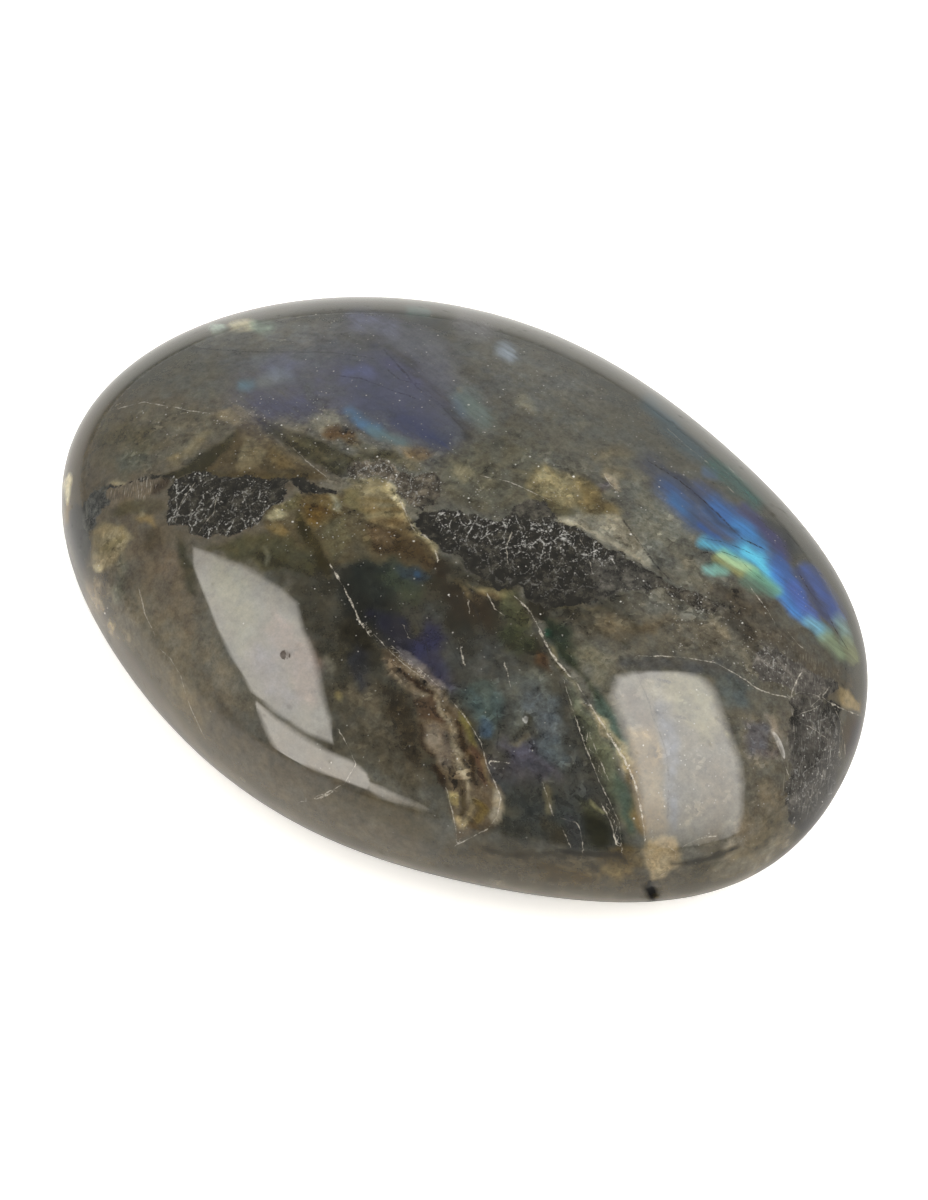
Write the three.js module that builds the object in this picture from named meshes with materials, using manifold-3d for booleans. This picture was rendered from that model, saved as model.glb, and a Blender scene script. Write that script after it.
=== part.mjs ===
// A polished labradorite palm stone, lying on its worn underside.
// Millimetres, +Z up, +X along the stone. The origin is on the resting plane, under the stone's middle.

import * as THREE from 'three';
import { mergeVertices } from 'three/addons/utils/BufferGeometryUtils.js';
import Module from 'manifold-3d';

// Driving dimensions
const HALF_LENGTH = 37;
const HALF_WIDTH = 25.84;
const CROWN_HEIGHT = 12.5; // from the girdle up to the crown
const BELLY_DEPTH = 12; // from the girdle down to the belly, before it wore flat
const BELLY_WEAR = 0.45; // how much of the belly is worn away
const RIM_FULLNESS = 2.3; // 2 makes an ellipsoid, more makes a fuller rim
const GRAIN = 17; // how finely the surface is divided

// How the outline departs from an ellipse, seen from above: waves around it, as shares of the radius
const OUTLINE_WAVES = [
  { count: 3, cosine: 0.0085, sine: -0.004 },
  { count: 4, cosine: 0.001, sine: 0.0046 },
  { count: 5, cosine: -0.0056, sine: -0.0076 },
  { count: 6, cosine: -0.0046, sine: -0.0038 },
];

// Small chips and pits that the polish didn't reach. around is the angle in plan from +X, above is the
// angle over the girdle, and turn is the angle between the pit's long side and the horizontal.
const PITS = [
  { name: 'rim nick', around: -34.5, above: -4.5, length: 2, width: 1.2, depth: 0.3, turn: 80 },
  { name: 'shoulder hollow', around: -4.5, above: 28, length: 3, width: 1, depth: 0.16, turn: 70 },
  { name: 'crown hollow', around: 57, above: 68.6, length: 2, width: 0.9, depth: 0.15, turn: 10 },
  { name: 'front pit', around: -48, above: 47, length: 1.2, width: 0.9, depth: 0.14, turn: 30 },
  { name: 'left pit', around: -94.5, above: 42.7, length: 0.9, width: 0.7, depth: 0.1, turn: 0 },
  { name: 'back pit', around: 105, above: 8, length: 1.8, width: 1.1, depth: 0.2, turn: 40 },
];
const PIT_ROUNDNESS = 3; // how finely the round tool that makes each pit is divided
const SLOPE_STEP = 0.01; // radians between the points that give the surface's slope

const wasm = await Module();
wasm.setup();

// A point of the unworn stone, from its angle around the girdle and its angle above it
function stonePoint(around, above) {
  let reach = 1;
  for (const wave of OUTLINE_WAVES) {
    reach += wave.cosine * Math.cos(wave.count * around) + wave.sine * Math.sin(wave.count * around);
  }
  const outward = reach * Math.cos(above) ** (2 / RIM_FULLNESS);
  const upward = Math.abs(Math.sin(above)) ** (2 / RIM_FULLNESS);
  const height = above > 0 ? CROWN_HEIGHT * upward : -BELLY_DEPTH * upward;
  return new THREE.Vector3(
    HALF_LENGTH * outward * Math.cos(around),
    HALF_WIDTH * outward * Math.sin(around),
    BELLY_DEPTH - BELLY_WEAR + height,
  );
}

// Makes a closed solid of a geometry, ready to be cut
function solidOf(geometry) {
  geometry.deleteAttribute('normal');
  geometry.deleteAttribute('uv');
  const merged = mergeVertices(geometry, 1e-5);
  return new wasm.Manifold(
    new wasm.Mesh({
      numProp: 3,
      vertProperties: new Float32Array(merged.attributes.position.array),
      triVerts: new Uint32Array(merged.index.array),
    }),
  );
}

// The whole stone before wear: a ball whose every point is moved out to the stone's surface
function unwornStone() {
  const ball = new THREE.IcosahedronGeometry(1, GRAIN);
  const places = ball.attributes.position;
  for (let i = 0; i < places.count; i += 1) {
    const around = Math.atan2(places.getY(i), places.getX(i));
    const above = Math.asin(THREE.MathUtils.clamp(places.getZ(i), -1, 1));
    const point = stonePoint(around, above);
    places.setXYZ(i, point.x, point.y, point.z);
  }
  return solidOf(ball);
}

// A block whose top is the resting plane, which takes the belly's lowest part away
function wearBlock() {
  const block = new THREE.BoxGeometry(4 * HALF_LENGTH, 4 * HALF_WIDTH, 2 * BELLY_DEPTH);
  block.translate(0, 0, -BELLY_DEPTH);
  return solidOf(block);
}

// The rounded form that one pit takes out of the surface: it reaches as far above it as below it
function pitForm(pit) {
  const around = THREE.MathUtils.degToRad(pit.around);
  const above = THREE.MathUtils.degToRad(pit.above);
  const place = stonePoint(around, above);
  const level = stonePoint(around + SLOPE_STEP, above).sub(place).normalize();
  const uphill = stonePoint(around, above + SLOPE_STEP).sub(place).normalize();
  const outward = new THREE.Vector3().crossVectors(level, uphill).normalize();
  const along = level.clone().applyAxisAngle(outward, THREE.MathUtils.degToRad(pit.turn));
  const across = new THREE.Vector3().crossVectors(outward, along);
  const mouth = Math.sqrt(3) / 2; // a ball's width at half its radius, as a share of its full width
  const form = new THREE.IcosahedronGeometry(1, PIT_ROUNDNESS);
  form.scale(pit.length / 2 / mouth, pit.width / 2 / mouth, 2 * pit.depth);
  form.applyMatrix4(new THREE.Matrix4().makeBasis(along, across, outward));
  form.translate(
    place.x + outward.x * pit.depth,
    place.y + outward.y * pit.depth,
    place.z + outward.z * pit.depth,
  );
  return solidOf(form);
}

// The finished stone as a geometry, moved so that its middle is over the origin
function stoneGeometry() {
  let solid = unwornStone().subtract(wearBlock());
  for (const pit of PITS) {
    solid = solid.subtract(pitForm(pit));
  }
  const mesh = solid.getMesh();
  const geometry = new THREE.BufferGeometry();
  geometry.setAttribute('position', new THREE.BufferAttribute(mesh.vertProperties, 3));
  geometry.setIndex(new THREE.BufferAttribute(mesh.triVerts, 1));
  geometry.computeBoundingBox();
  const middle = geometry.boundingBox.getCenter(new THREE.Vector3());
  geometry.translate(-middle.x, -middle.y, 0);
  geometry.computeVertexNormals();
  return geometry;
}

const polishedStone = new THREE.MeshStandardMaterial({
  color: 0x56554e,
  roughness: 0.15,
  metalness: 0,
});

const stone = new THREE.Mesh(stoneGeometry(), polishedStone);
stone.name = 'stone';

const part = new THREE.Group();
part.add(stone);

export default part;
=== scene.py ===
# A polished labradorite palm stone on a pale floor, under soft studio lights.
# Lengths are in millimetres until an object is made. The objects themselves are in metres.

import math

import bpy
import numpy as np
from mathutils import Matrix, Vector
from mathutils.bvhtree import BVHTree


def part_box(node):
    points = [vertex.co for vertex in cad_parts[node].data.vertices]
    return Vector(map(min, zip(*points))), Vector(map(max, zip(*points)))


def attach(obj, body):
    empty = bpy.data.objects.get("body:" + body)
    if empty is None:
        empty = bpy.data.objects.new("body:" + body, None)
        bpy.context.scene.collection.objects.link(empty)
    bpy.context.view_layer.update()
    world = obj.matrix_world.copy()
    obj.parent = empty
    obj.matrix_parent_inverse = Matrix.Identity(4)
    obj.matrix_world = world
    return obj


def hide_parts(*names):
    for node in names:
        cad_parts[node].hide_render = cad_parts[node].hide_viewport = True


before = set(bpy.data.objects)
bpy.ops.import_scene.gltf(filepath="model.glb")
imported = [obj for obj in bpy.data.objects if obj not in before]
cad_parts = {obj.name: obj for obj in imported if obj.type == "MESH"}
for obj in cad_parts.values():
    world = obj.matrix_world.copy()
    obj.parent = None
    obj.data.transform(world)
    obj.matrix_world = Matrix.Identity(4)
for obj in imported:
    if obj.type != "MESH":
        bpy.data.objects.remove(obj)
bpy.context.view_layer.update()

MM = 0.001  # metres in a millimetre

# The stone's form, the same as the solid that it stands for
HALF_LENGTH = 37.0
HALF_WIDTH = 25.84
CROWN_HEIGHT = 12.5
BELLY_DEPTH = 12.0
BELLY_WEAR = 0.45
RIM_FULLNESS = 2.3
OUTLINE_WAVES = (  # waves in a turn, cosine share, sine share
    (3, 0.0085, -0.004),
    (4, 0.001, 0.0046),
    (5, -0.0056, -0.0076),
    (6, -0.0046, -0.0038),
)
PITS = (  # around and above in degrees, length, width, depth, turn in degrees
    (-34.5, -4.5, 2, 1.2, 0.3, 80),
    (-4.5, 28, 3, 1, 0.16, 70),
    (57, 68.6, 2, 0.9, 0.15, 10),
    (-48, 47, 1.2, 0.9, 0.14, 30),
    (-94.5, 42.7, 0.9, 0.7, 0.1, 0),
    (105, 8, 1.8, 1.1, 0.2, 40),
)
PIT_REACH = 3  # how far in or out from a pit's middle the skin still belongs to it

# How finely the skin is divided: rings from the crown to the girdle, and from there to the belly
TOP_RINGS = 166
BELLY_RINGS = 70
POINTS_PER_RING = 6  # how many points longer each ring is than the last
EDGE_SOFTNESS = 0.3  # how gently the worn flat runs into the belly

# The camera, at the photograph's angle. Its picture is 928 by 1200.
PICTURE_WIDTH = 928
PICTURE_HEIGHT = 1200
SENSOR = 36.0
LENS = 150.0
VIEW_AZIMUTH = math.radians(37.61)
VIEW_ELEVATION = math.radians(50.0)
VIEW_DISTANCE = 415.7
AIM_RIGHT = 0.27
AIM_UP = -1.24

# Light: how bright things are, 1 being white
FILL = 0.55  # the even light that falls on the stone's body
DIM_ROOM = 0.2  # what the polish mirrors overhead and in front
BRIGHT_BACKDROP = 0.64  # what it mirrors low down, beyond the stone
BACKDROP_DROP = -0.35  # how far the backdrop's brightest direction points down
BACKDROP_EDGE = (0.0, 0.95)  # cosines from that direction, where the backdrop begins and is brightest
# Painted light and shade on the floor that the polish mirrors: its colour is made paler or darker by place,
# to stand for how the light falls on it
MIRRORED_FLOOR_ALBEDO = 0.6  # the polish mirrors the floor near the stone about this pale,
DISTANT_SHARE = 0.24  # far in front of it, where the dim room begins, as this share of it,
RIGHT_SHARE = 0.7  # to the right and in front as this one,
LEFT_SHARE = 1.15  # to the left and beyond as this one,
FAR_LEFT_SHARE = 0.35  # far to the left as this share of that,
HORIZON_SHARE = 0.78  # and far beyond, where it meets the backdrop, as this one
NEAR_FLOOR = (-280.0, -40.0)  # beyond the stone's middle: from its distant share to the whole
ACROSS_FLOOR = (-60.0, 40.0)  # towards the back left: from its right share to its left one
LEFT_FLOOR = (60.0, 200.0)  # to the left: from there to its far left share
FAR_FLOOR = (60.0, 400.0)  # beyond: from there to its share at the horizon
LAMP_DISTANCE = 620.0

# Numbers that scramble a cell's place into its random value
HASH_SEED = 374761393
HASH_AXES = (73856093, 19349663, 83492791)
HASH_MIXES = ((13, 1274126177), (16, 668265263))
HASH_MASK = 0xFFFFFFFF
SEED_SHIFT = 17.3  # moves each seed's noise to a place of its own
NOISE_GAIN = 1.6  # brings the noise's lows and highs near to -1 and 1


def smooth(value, low, high):
    """0 below low, 1 above high, with a soft step between; low may be the larger."""
    share = np.clip((value - low) / (high - low), 0, 1)
    return share * share * (3 - 2 * share)


def value_noise(points, size, seed, octaves=3):
    """Smooth noise from -1 to 1 at points, its largest lumps of about that size."""
    total = np.zeros(len(points))
    weight = 1.0
    reach = 0.0
    for octave in range(octaves):
        scaled = points / size * 2.0**octave + SEED_SHIFT * seed
        cell = np.floor(scaled).astype(np.int64)
        part = scaled - cell
        part = part * part * (3 - 2 * part)
        layer = np.zeros(len(points))
        for corner in np.ndindex(*(2,) * points.shape[1]):
            key = np.full(len(points), HASH_SEED * (seed + 7 * octave + 1), np.int64)
            share = np.ones(len(points))
            for axis, side in enumerate(corner):
                key ^= (cell[:, axis] + side) * HASH_AXES[axis]
                share *= part[:, axis] if side else 1 - part[:, axis]
            for shift, factor in HASH_MIXES:
                key = (key ^ (key >> shift)) * factor & HASH_MASK
            layer += share * (key / 2.0**31 - 1)
        total += weight * layer
        reach += weight
        weight *= 0.5
    return total / reach * NOISE_GAIN

# The stone's markings. Routes and outlines are read from the photograph, in its pixels, and
# tones are what the eye sees there, from 0 to 255. A mark of width 0 is an area, else a line that wide.

def points_of(text):
    """The points of a route or outline that is written as text."""
    return tuple(tuple(float(number) for number in point.split(",")) for point in text.split())


def marks(*rows):
    """Rows with their last value, a route that is written as text, turned into points."""
    return [(*row[:-1], points_of(row[-1])) for row in rows]


# What it is, tone, strength, width, softness, wobble, route
CLOUDS = marks(
    ("upper grey", (98, 98, 91), 1.0, 0, 30, 8,
     "60,420 150,300 330,270 560,300 760,420 880,600 880,700 700,600 620,520 520,480 440,450 340,400 "
     "230,380 120,430"),
    ("bluish middle of the upper side", (94, 97, 102), 0.7, 0, 40, 8,
     "230,360 330,310 430,320 520,400 520,460 420,440 330,400"),
    ("pale upper right", (112, 112, 107), 0.8, 0, 30, 8, "470,330 530,335 580,370 600,400 550,390 490,365"),
    ("olive lower middle", (88, 86, 75), 0.8, 0, 26, 8, "466,405 500,400 540,425 560,452 520,455 480,440"),
    ("left shoulder", (97, 91, 80), 1.0, 0, 26, 10,
     "40,420 110,400 220,400 330,440 330,540 200,560 200,640 260,720 330,760 430,820 440,900 200,800 "
     "40,600"),
    ("paler left side", (124, 118, 103), 0.85, 0, 20, 8,
     "108,592 150,588 186,600 200,640 206,700 170,700 120,640"),
    ("olive by the trail", (94, 88, 72), 0.8, 0, 14, 8, "320,790 370,795 430,815 440,840 380,835 330,815"),
    ("pale under the left glare", (126, 120, 106), 0.8, 24, 10, 6, "206,640 222,672 238,702"),
    ("lower left rim", (120, 113, 99), 0.9, 60, 24, 8, "90,600 130,680 190,740 260,800 330,840 430,880"),
    ("front middle", (58, 56, 48), 1.0, 0, 20, 10,
     "260,535 330,540 430,560 500,590 540,640 570,690 610,780 625,850 500,850 440,800 330,750 315,650 "
     "280,580"),
    ("grey front between the cracks", (76, 78, 76), 0.8, 0, 18, 8,
     "420,600 500,640 560,700 600,780 600,830 510,830 480,720 420,650"),
    ("grey beside the left glare", (94, 89, 76), 0.85, 0, 18, 8,
     "330,690 380,680 420,720 440,790 400,790 340,750"),
    ("right middle", (101, 98, 88), 1.0, 0, 22, 10,
     "550,600 640,610 730,625 850,690 860,780 760,870 650,870 645,780 605,700 560,650"),
    ("brown right of the flash", (92, 86, 76), 0.9, 0, 14, 6,
     "700,590 760,590 800,640 860,680 862,712 800,690 740,630"),
    ("front rim", (88, 83, 72), 1.0, 0, 16, 5,
     "440,848 520,853 640,858 720,868 800,825 860,760 880,950 400,950"),
    ("warm front rim", (84, 77, 62), 0.85, 26, 14, 6, "450,850 520,862 570,868 620,874 646,878"),
    ("pale upper left", (128, 128, 124), 0.7, 30, 16, 6, "204,348 236,332 290,324 330,318"),
    ("dark right rim", (86, 80, 64), 0.8, 24, 12, 6, "690,872 740,856 790,820"),
    # Painted highlight: a paler band along the lower right rim, where the rim shines.
    ("pale lower right rim", (140, 132, 114), 0.85, 20, 12, 4, "716,880 740,870 770,850 792,832"),
    ("pale ground beside the glare", (164, 153, 133), 0.85, 22, 9, 5, "746,818 740,842 726,856"),
    # Painted reflection: the pale lines and the paler band along the lower left and front edges stand for
    # the floor that the polish mirrors at the rim.
    ("pale left edge", (148, 142, 128), 0.8, 7, 6, 2, "142,685 200,750 261,799 324,835"),
    ("glow of the front edge", (118, 111, 95), 0.6, 20, 14, 1,
     "330,834 392,857 460,873 538,888 633,896 700,887 742,873"),
    ("pale front edge", (168, 160, 144), 0.85, 7, 6, 0,
     "372,855 392,862 460,879 538,895 633,904 700,895 744,880 793,841"),
)

PATCHES = marks(
    # the tan belt above the vein
    ("grey-brown shoulder", (98, 95, 83), 0.8, 0, 10, 8,
     "92,420 140,403 205,412 230,428 190,460 130,478 95,470"),
    ("blue-grey pool", (92, 95, 86), 0.7, 20, 12, 6, "118,458 146,460"),
    ("olive shoulder", (84, 80, 64), 0.7, 16, 10, 6, "96,440 130,436 160,444"),
    ("tan run", (128, 118, 92), 0.8, 8, 5, 5, "165,463 186,450 208,434"),
    ("dark wedge", (54, 52, 40), 0.92, 0, 3, 4,
     "160,478 190,462 217,440 234,424 240,430 226,448 214,462 208,473 185,478"),
    ("slab", (82, 74, 57), 0.95, 0, 3, 3,
     "234,426 243,419 256,428 274,442 292,455 312,468 328,479 300,481 262,477 228,475 206,474 214,462 "
     "226,448"),
    ("slab facet", (118, 110, 88), 0.9, 0, 2, 3, "243,436 256,438 267,451 263,462 248,469 235,468 238,452"),
    ("slab brown facet", (110, 96, 68), 0.8, 0, 4, 3, "270,444 288,456 298,470 280,470 268,458"),
    ("slab foot", (76, 68, 50), 0.75, 7, 4, 3, "210,473 250,475 310,478"),
    ("slab crest", (101, 92, 72), 0.7, 7, 3, 3, "240,420 262,434 286,452 312,470"),
    ("knot", (128, 120, 98), 0.88, 0, 3, 4, "219,413 228,405 240,403 251,411 247,421 234,424 223,421"),
    ("crumbs left of the knot", (94, 91, 79), 0.6, 9, 5, 5, "176,410 196,413 214,416"),
    ("olive beyond the slab", (58, 56, 43), 0.9, 0, 4, 5,
     "252,417 276,421 300,430 320,438 340,448 360,458 350,468 336,476 314,466 292,450 270,434"),
    ("olive edge", (92, 88, 68), 0.7, 5, 3, 3, "282,430 310,446 336,458 352,460"),
    ("crumb run", (118, 114, 96), 0.7, 8, 5, 6, "272,421 292,422 306,424"),
    ("pale crumbs", (136, 134, 117), 0.8, 0, 4, 6,
     "305,421 312,408 326,405 339,411 337,425 322,431 310,429"),
    ("brown patch", (92, 72, 50), 0.8, 9, 5, 5, "322,434 340,433 358,442"),
    ("olive by the knot", (86, 82, 66), 0.7, 9, 5, 6, "384,452 404,460 424,466"),
    ("pale crumbs by the blue", (104, 102, 86), 0.5, 9, 4, 5, "348,440 366,445 384,448"),
    ("olive band", (61, 58, 43), 0.8, 9, 6, 5, "346,456 376,455 400,462"),
    ("orange-brown knot", (118, 100, 72), 0.85, 0, 4, 4, "401,446 412,443 426,448 434,457 421,460 406,455"),
    ("grey-olive right of the knot", (88, 86, 73), 0.85, 0, 8, 8,
     "440,462 462,446 500,440 530,452 556,478 560,504 520,508 490,512 450,504"),
    ("pale knot", (134, 130, 108), 0.8, 12, 6, 6, "456,466 466,474 476,476"),
    ("tan round the cream patch", (120, 112, 86), 0.8, 0, 8, 8,
     "516,470 548,468 578,480 600,500 590,512 560,512 530,500"),
    ("cream patch", (186, 180, 146), 0.85, 15, 7, 7, "535,480 552,488 562,494"),
    ("cream patch edge", (139, 129, 97), 0.7, 26, 12, 8, "528,484 570,500"),
    ("brown wedge side", (112, 100, 70), 0.85, 18, 7, 6, "578,484 596,502 612,516"),
    ("fawn patch", (118, 110, 90), 0.75, 30, 12, 8, "596,462 630,478"),
    ("violet fleck", (88, 84, 92), 0.7, 9, 5, 3, "600,483 608,487"),
    ("fawn hollow", (168, 156, 134), 0.8, 7, 3, 3, "604,472 612,482 618,490"),
    ("olive under the cream patch", (84, 80, 62), 0.8, 7, 4, 5, "536,500 560,512 586,516"),
    # the left end
    ("hatched field", (116, 106, 91), 0.9, 0, 2.5, 2,
     "106,483 122,481 165,480 164,489 150,495 139,499 121,507 109,506 105,498"),
    ("hatched field crumb", (170, 162, 132), 0.8, 5, 3, 3, "110,482 118,481 124,482"),
    ("hatched field end", (58, 50, 42), 0.85, 7, 3, 3, "152,495 160,487 170,480"),
    ("olive under the hatch", (84, 80, 62), 0.8, 9, 4, 4, "112,513 128,509 142,504"),
    ("olive right of the hatch", (80, 77, 65), 0.75, 12, 6, 5, "140,508 156,504 162,510"),
    ("left knob", (147, 136, 107), 0.92, 0, 3, 5,
     "92,531 99,524 108,522 115,524 126,531 131,536 126,545 115,557 103,573 91,572 89,554 91,541"),
    ("left knob hollow", (112, 102, 74), 0.8, 5, 3, 4, "100,552 112,540 122,536"),
    ("left knob foot", (198, 190, 156), 0.8, 8, 4, 3, "94,566 100,571"),
    ("left tan", (138, 120, 84), 0.8, 10, 5, 5, "132,522 146,519 156,526"),
    ("left tan crumb", (153, 148, 122), 0.8, 5, 3, 4, "139,512 143,518"),
    ("left brown", (108, 99, 85), 0.75, 0, 10, 8,
     "132,536 160,532 178,545 190,580 198,630 180,640 150,600 136,570"),
    ("dark beside the glare", (74, 68, 56), 0.65, 18, 8, 6, "146,532 158,544 168,556"),
    ("left brown cloud", (116, 104, 90), 0.6, 14, 9, 6, "158,546 172,560 166,580"),
    ("pink under the left glare", (122, 104, 98), 0.7, 26, 12, 8, "276,616 296,656 312,700"),
    ("cream under the left glare", (116, 118, 96), 0.7, 26, 12, 8, "214,566 236,604 256,650"),
    ("violet under the left glare", (104, 100, 110), 0.6, 22, 10, 8, "254,640 270,672 290,706"),
    ("left olive by the glare", (57, 57, 44), 0.75, 10, 6, 4, "180,538 186,560 192,590"),
    ("left green streak", (112, 113, 98), 0.7, 8, 6, 4, "122,556 120,578 116,600"),
    ("rim pink crumbs", (162, 147, 124), 0.7, 9, 5, 5, "92,578 94,592 98,606"),
    ("rim crumb one", (182, 164, 134), 0.85, 10, 5, 4, "94,598 98,612"),
    ("rim crumb two", (160, 146, 118), 0.8, 8, 4, 4, "109,622 112,634"),
    ("rim crumb three", (132, 126, 110), 0.6, 12, 6, 5, "122,640 140,640"),
    ("tan under the left crack", (132, 120, 94), 0.6, 22, 12, 6, "176,676 186,700 200,730"),
    ("pale rim spot", (214, 206, 172), 1.0, 7, 3, 2, "68,474 66,488 66,504"),
    ("rim tan", (152, 127, 80), 0.75, 7, 4, 3, "66,506 67,520 68,528"),
    # tan patches under the vein
    ("fawn ground under the vein", (88, 80, 60), 0.9, 0, 6, 6,
     "262,506 300,492 345,490 400,516 430,540 440,564 412,572 360,562 330,562 290,544 262,528"),
    ("tongue", (134, 123, 92), 0.95, 0, 2.5, 5,
     "339,489 350,483 361,477 373,478 384,483 392,489 399,497 403,510 407,521 394,527 382,525 369,522 "
     "362,510 346,502"),
    ("tongue left side", (100, 94, 68), 0.85, 0, 3, 4,
     "338,490 348,484 356,488 358,500 366,512 356,510 344,502"),
    ("tongue top", (112, 106, 84), 0.8, 6, 3, 4, "350,480 366,477 382,482"),
    ("tongue cream edge", (176, 168, 138), 0.9, 9, 3, 3, "386,484 396,493 402,508"),
    ("tongue pale run", (158, 150, 118), 0.8, 5, 3, 3, "364,492 380,490 396,494"),
    ("tongue streak", (104, 90, 60), 0.85, 4, 2.5, 3, "354,500 374,498 396,502"),
    ("tongue streak two", (108, 92, 62), 0.8, 3.5, 2.5, 3, "362,509 382,508 404,512"),
    ("tongue foot", (104, 88, 62), 0.85, 8, 3, 4, "370,519 388,522 408,524"),
    ("tongue foot crumb", (140, 128, 98), 0.8, 4, 3, 4, "382,526 398,530 414,536"),
    ("brown of the tongue", (64, 53, 39), 0.9, 0, 5, 6,
     "364,522 382,526 404,530 422,540 436,556 434,568 412,562 386,556 370,544"),
    ("fawn of the tongue", (99, 86, 67), 0.75, 10, 6, 5, "366,530 380,538 390,546"),
    ("rusty black", (50, 42, 34), 0.8, 12, 7, 5, "420,552 438,566 446,582"),
    ("rust field", (96, 84, 58), 0.9, 0, 4, 5,
     "296,500 308,492 326,492 338,502 340,516 330,528 312,532 300,522"),
    ("orange rust", (101, 81, 45), 0.75, 10, 5, 5, "306,508 316,514 318,524"),
    ("dark streak of the rust", (66, 52, 34), 0.75, 3, 2.5, 3, "304,503 318,508 332,512"),
    ("tan flakes", (104, 100, 72), 0.85, 0, 3, 5, "276,506 284,498 298,492 304,496 296,506 284,512"),
    ("cream crumb", (175, 172, 142), 0.85, 7, 3, 4, "268,517 282,514"),
    ("tan orange", (139, 119, 78), 0.75, 10, 5, 5, "268,526 286,532"),
    ("pale flakes", (137, 139, 123), 0.75, 5, 3, 5, "325,493 334,500 339,510"),
    ("grey-green lens", (95, 91, 71), 0.85, 0, 4, 5,
     "322,530 334,518 348,520 352,536 346,552 332,556 320,546"),
    ("dark diagonal of the rust", (56, 52, 36), 0.88, 10, 5, 4, "294,514 304,532 318,552 332,574"),
    ("olive under the rust", (76, 74, 54), 0.85, 0, 6, 6,
     "206,546 236,534 262,530 290,536 306,548 318,566 300,574 268,566 236,560"),
    ("dark under the rust", (54, 52, 42), 0.85, 9, 5, 5, "246,552 276,560 306,572"),
    ("pale run under the rust", (119, 118, 101), 0.75, 4, 3, 4, "262,545 268,554 266,562"),
    ("fawn run down from the tongue", (102, 90, 66), 0.8, 7, 4, 4, "398,530 414,538 426,550 430,562"),
    ("cream crumbs by the vein", (150, 142, 112), 0.8, 4, 3, 5, "410,526 422,534 432,546 436,560"),
    ("brown by the vein", (72, 60, 44), 0.8, 9, 5, 5, "408,538 420,552 424,566"),
    ("green foot", (52, 60, 56), 0.8, 0, 8, 6, "352,562 386,560 414,570 412,592 386,600 360,590"),
    # between and beside the two long cracks
    ("black pool", (40, 42, 40), 0.8, 0, 10, 8, "340,560 372,556 392,580 400,620 390,640 360,620 344,590"),
    ("dark brown left of the lobe", (56, 50, 40), 0.85, 0, 9, 8,
     "384,684 410,694 422,726 430,762 420,774 402,762 390,728"),
    ("dark left of the lobe", (42, 40, 33), 0.75, 26, 10, 8, "346,626 364,652 378,676"),
    ("dark blue under the first crack", (44, 44, 60), 0.8, 20, 9, 6, "372,612 392,628 420,650 440,676"),
    ("purple haze", (44, 42, 66), 0.7, 22, 10, 6, "428,624 436,650"),
    ("green haze", (68, 74, 60), 0.8, 24, 10, 8, "386,576 410,588 398,602"),
    ("blue haze", (52, 62, 76), 0.7, 14, 7, 6, "402,570 424,580"),
    ("blue speck", (62, 92, 130), 0.8, 4, 3, 1, "415,573 419,576"),
    ("dark below the vein", (58, 55, 46), 0.8, 0, 10, 8,
     "438,560 480,576 520,598 560,612 600,604 626,600 606,622 560,630 520,622 480,608 448,590"),
    ("brown between", (56, 50, 42), 0.8, 26, 10, 8, "446,590 476,612 490,634"),
    ("tan crumbs between", (112, 102, 78), 0.75, 5, 3, 5, "446,574 462,586 470,600"),
    ("rusty crumbs between", (108, 92, 66), 0.75, 5, 3, 6, "476,588 494,598 508,600"),
    ("grey crumbs between", (104, 104, 94), 0.7, 6, 3, 6, "520,600 540,612 556,616"),
    ("tan crumbs under the vein", (128, 118, 90), 0.7, 6, 3, 6, "556,606 580,604 604,612"),
    ("black hollow under the vein", (36, 34, 28), 0.85, 14, 6, 6, "530,596 540,608 544,622"),
    ("cream crumbs in the hollow", (130, 124, 92), 0.8, 7, 3, 6, "550,602 560,608 572,606"),
    ("cream crumbs at the vein's foot", (134, 127, 98), 0.8, 4, 3, 5, "468,583 484,590 499,597 510,600"),
    ("brown beyond the hollow", (110, 94, 72), 0.7, 10, 6, 5, "600,628 614,630 628,636"),
    ("rust beside the crack", (74, 54, 38), 0.75, 8, 4, 4, "536,652 546,662 552,672"),
    ("rusty hollow", (90, 78, 58), 0.7, 9, 5, 6, "612,622 636,628 664,622"),
    ("olive between", (84, 86, 62), 0.7, 18, 8, 6, "500,600 516,616 526,630"),
    ("dark olive", (58, 62, 44), 0.7, 20, 9, 6, "500,634 530,650"),
    ("emerald speck", (24, 84, 62), 0.8, 5, 4, 2, "546,630 550,634"),
    ("dark green", (34, 44, 36), 0.85, 18, 8, 4, "548,622 562,640 576,662"),
    ("teal pool", (76, 92, 90), 0.85, 0, 9, 6, "462,690 480,678 498,690 498,716 496,740 486,738 474,716"),
    ("blue pool", (70, 90, 116), 0.8, 12, 6, 3, "484,722 490,738"),
    ("steel pool", (106, 116, 121), 0.85, 0, 10, 6, "530,704 556,700 566,722 560,746 544,742 532,726"),
    ("mauve pool", (88, 84, 102), 0.6, 28, 12, 6, "506,748 536,768 556,774"),
    ("grey-green field", (108, 112, 104), 0.7, 34, 14, 6, "508,690 534,690 520,730"),
    ("steel below the pits", (86, 96, 100), 0.75, 20, 9, 5, "544,742 556,756 562,768"),
    ("dark left of the streaks", (48, 46, 39), 0.65, 24, 10, 6, "450,618 464,636 476,652"),
    ("steel blue field", (86, 92, 100), 0.6, 22, 12, 6, "524,696 540,716 552,744"),
    ("mauve-grey field", (74, 72, 76), 0.6, 30, 14, 6, "470,760 500,776 530,788"),
    ("crumbly pits", (48, 46, 38), 0.8, 5, 3, 4, "516,738 524,728 530,720 526,714"),
    ("tan by the pits", (110, 102, 82), 0.7, 5, 3, 4, "512,742 520,744 528,736"),
    ("brown streak", (98, 88, 62), 0.7, 8, 5, 3, "546,784 548,800 552,814"),
    ("dark blue-grey", (48, 50, 58), 0.75, 14, 8, 5, "356,650 362,670 364,690"),
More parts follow.
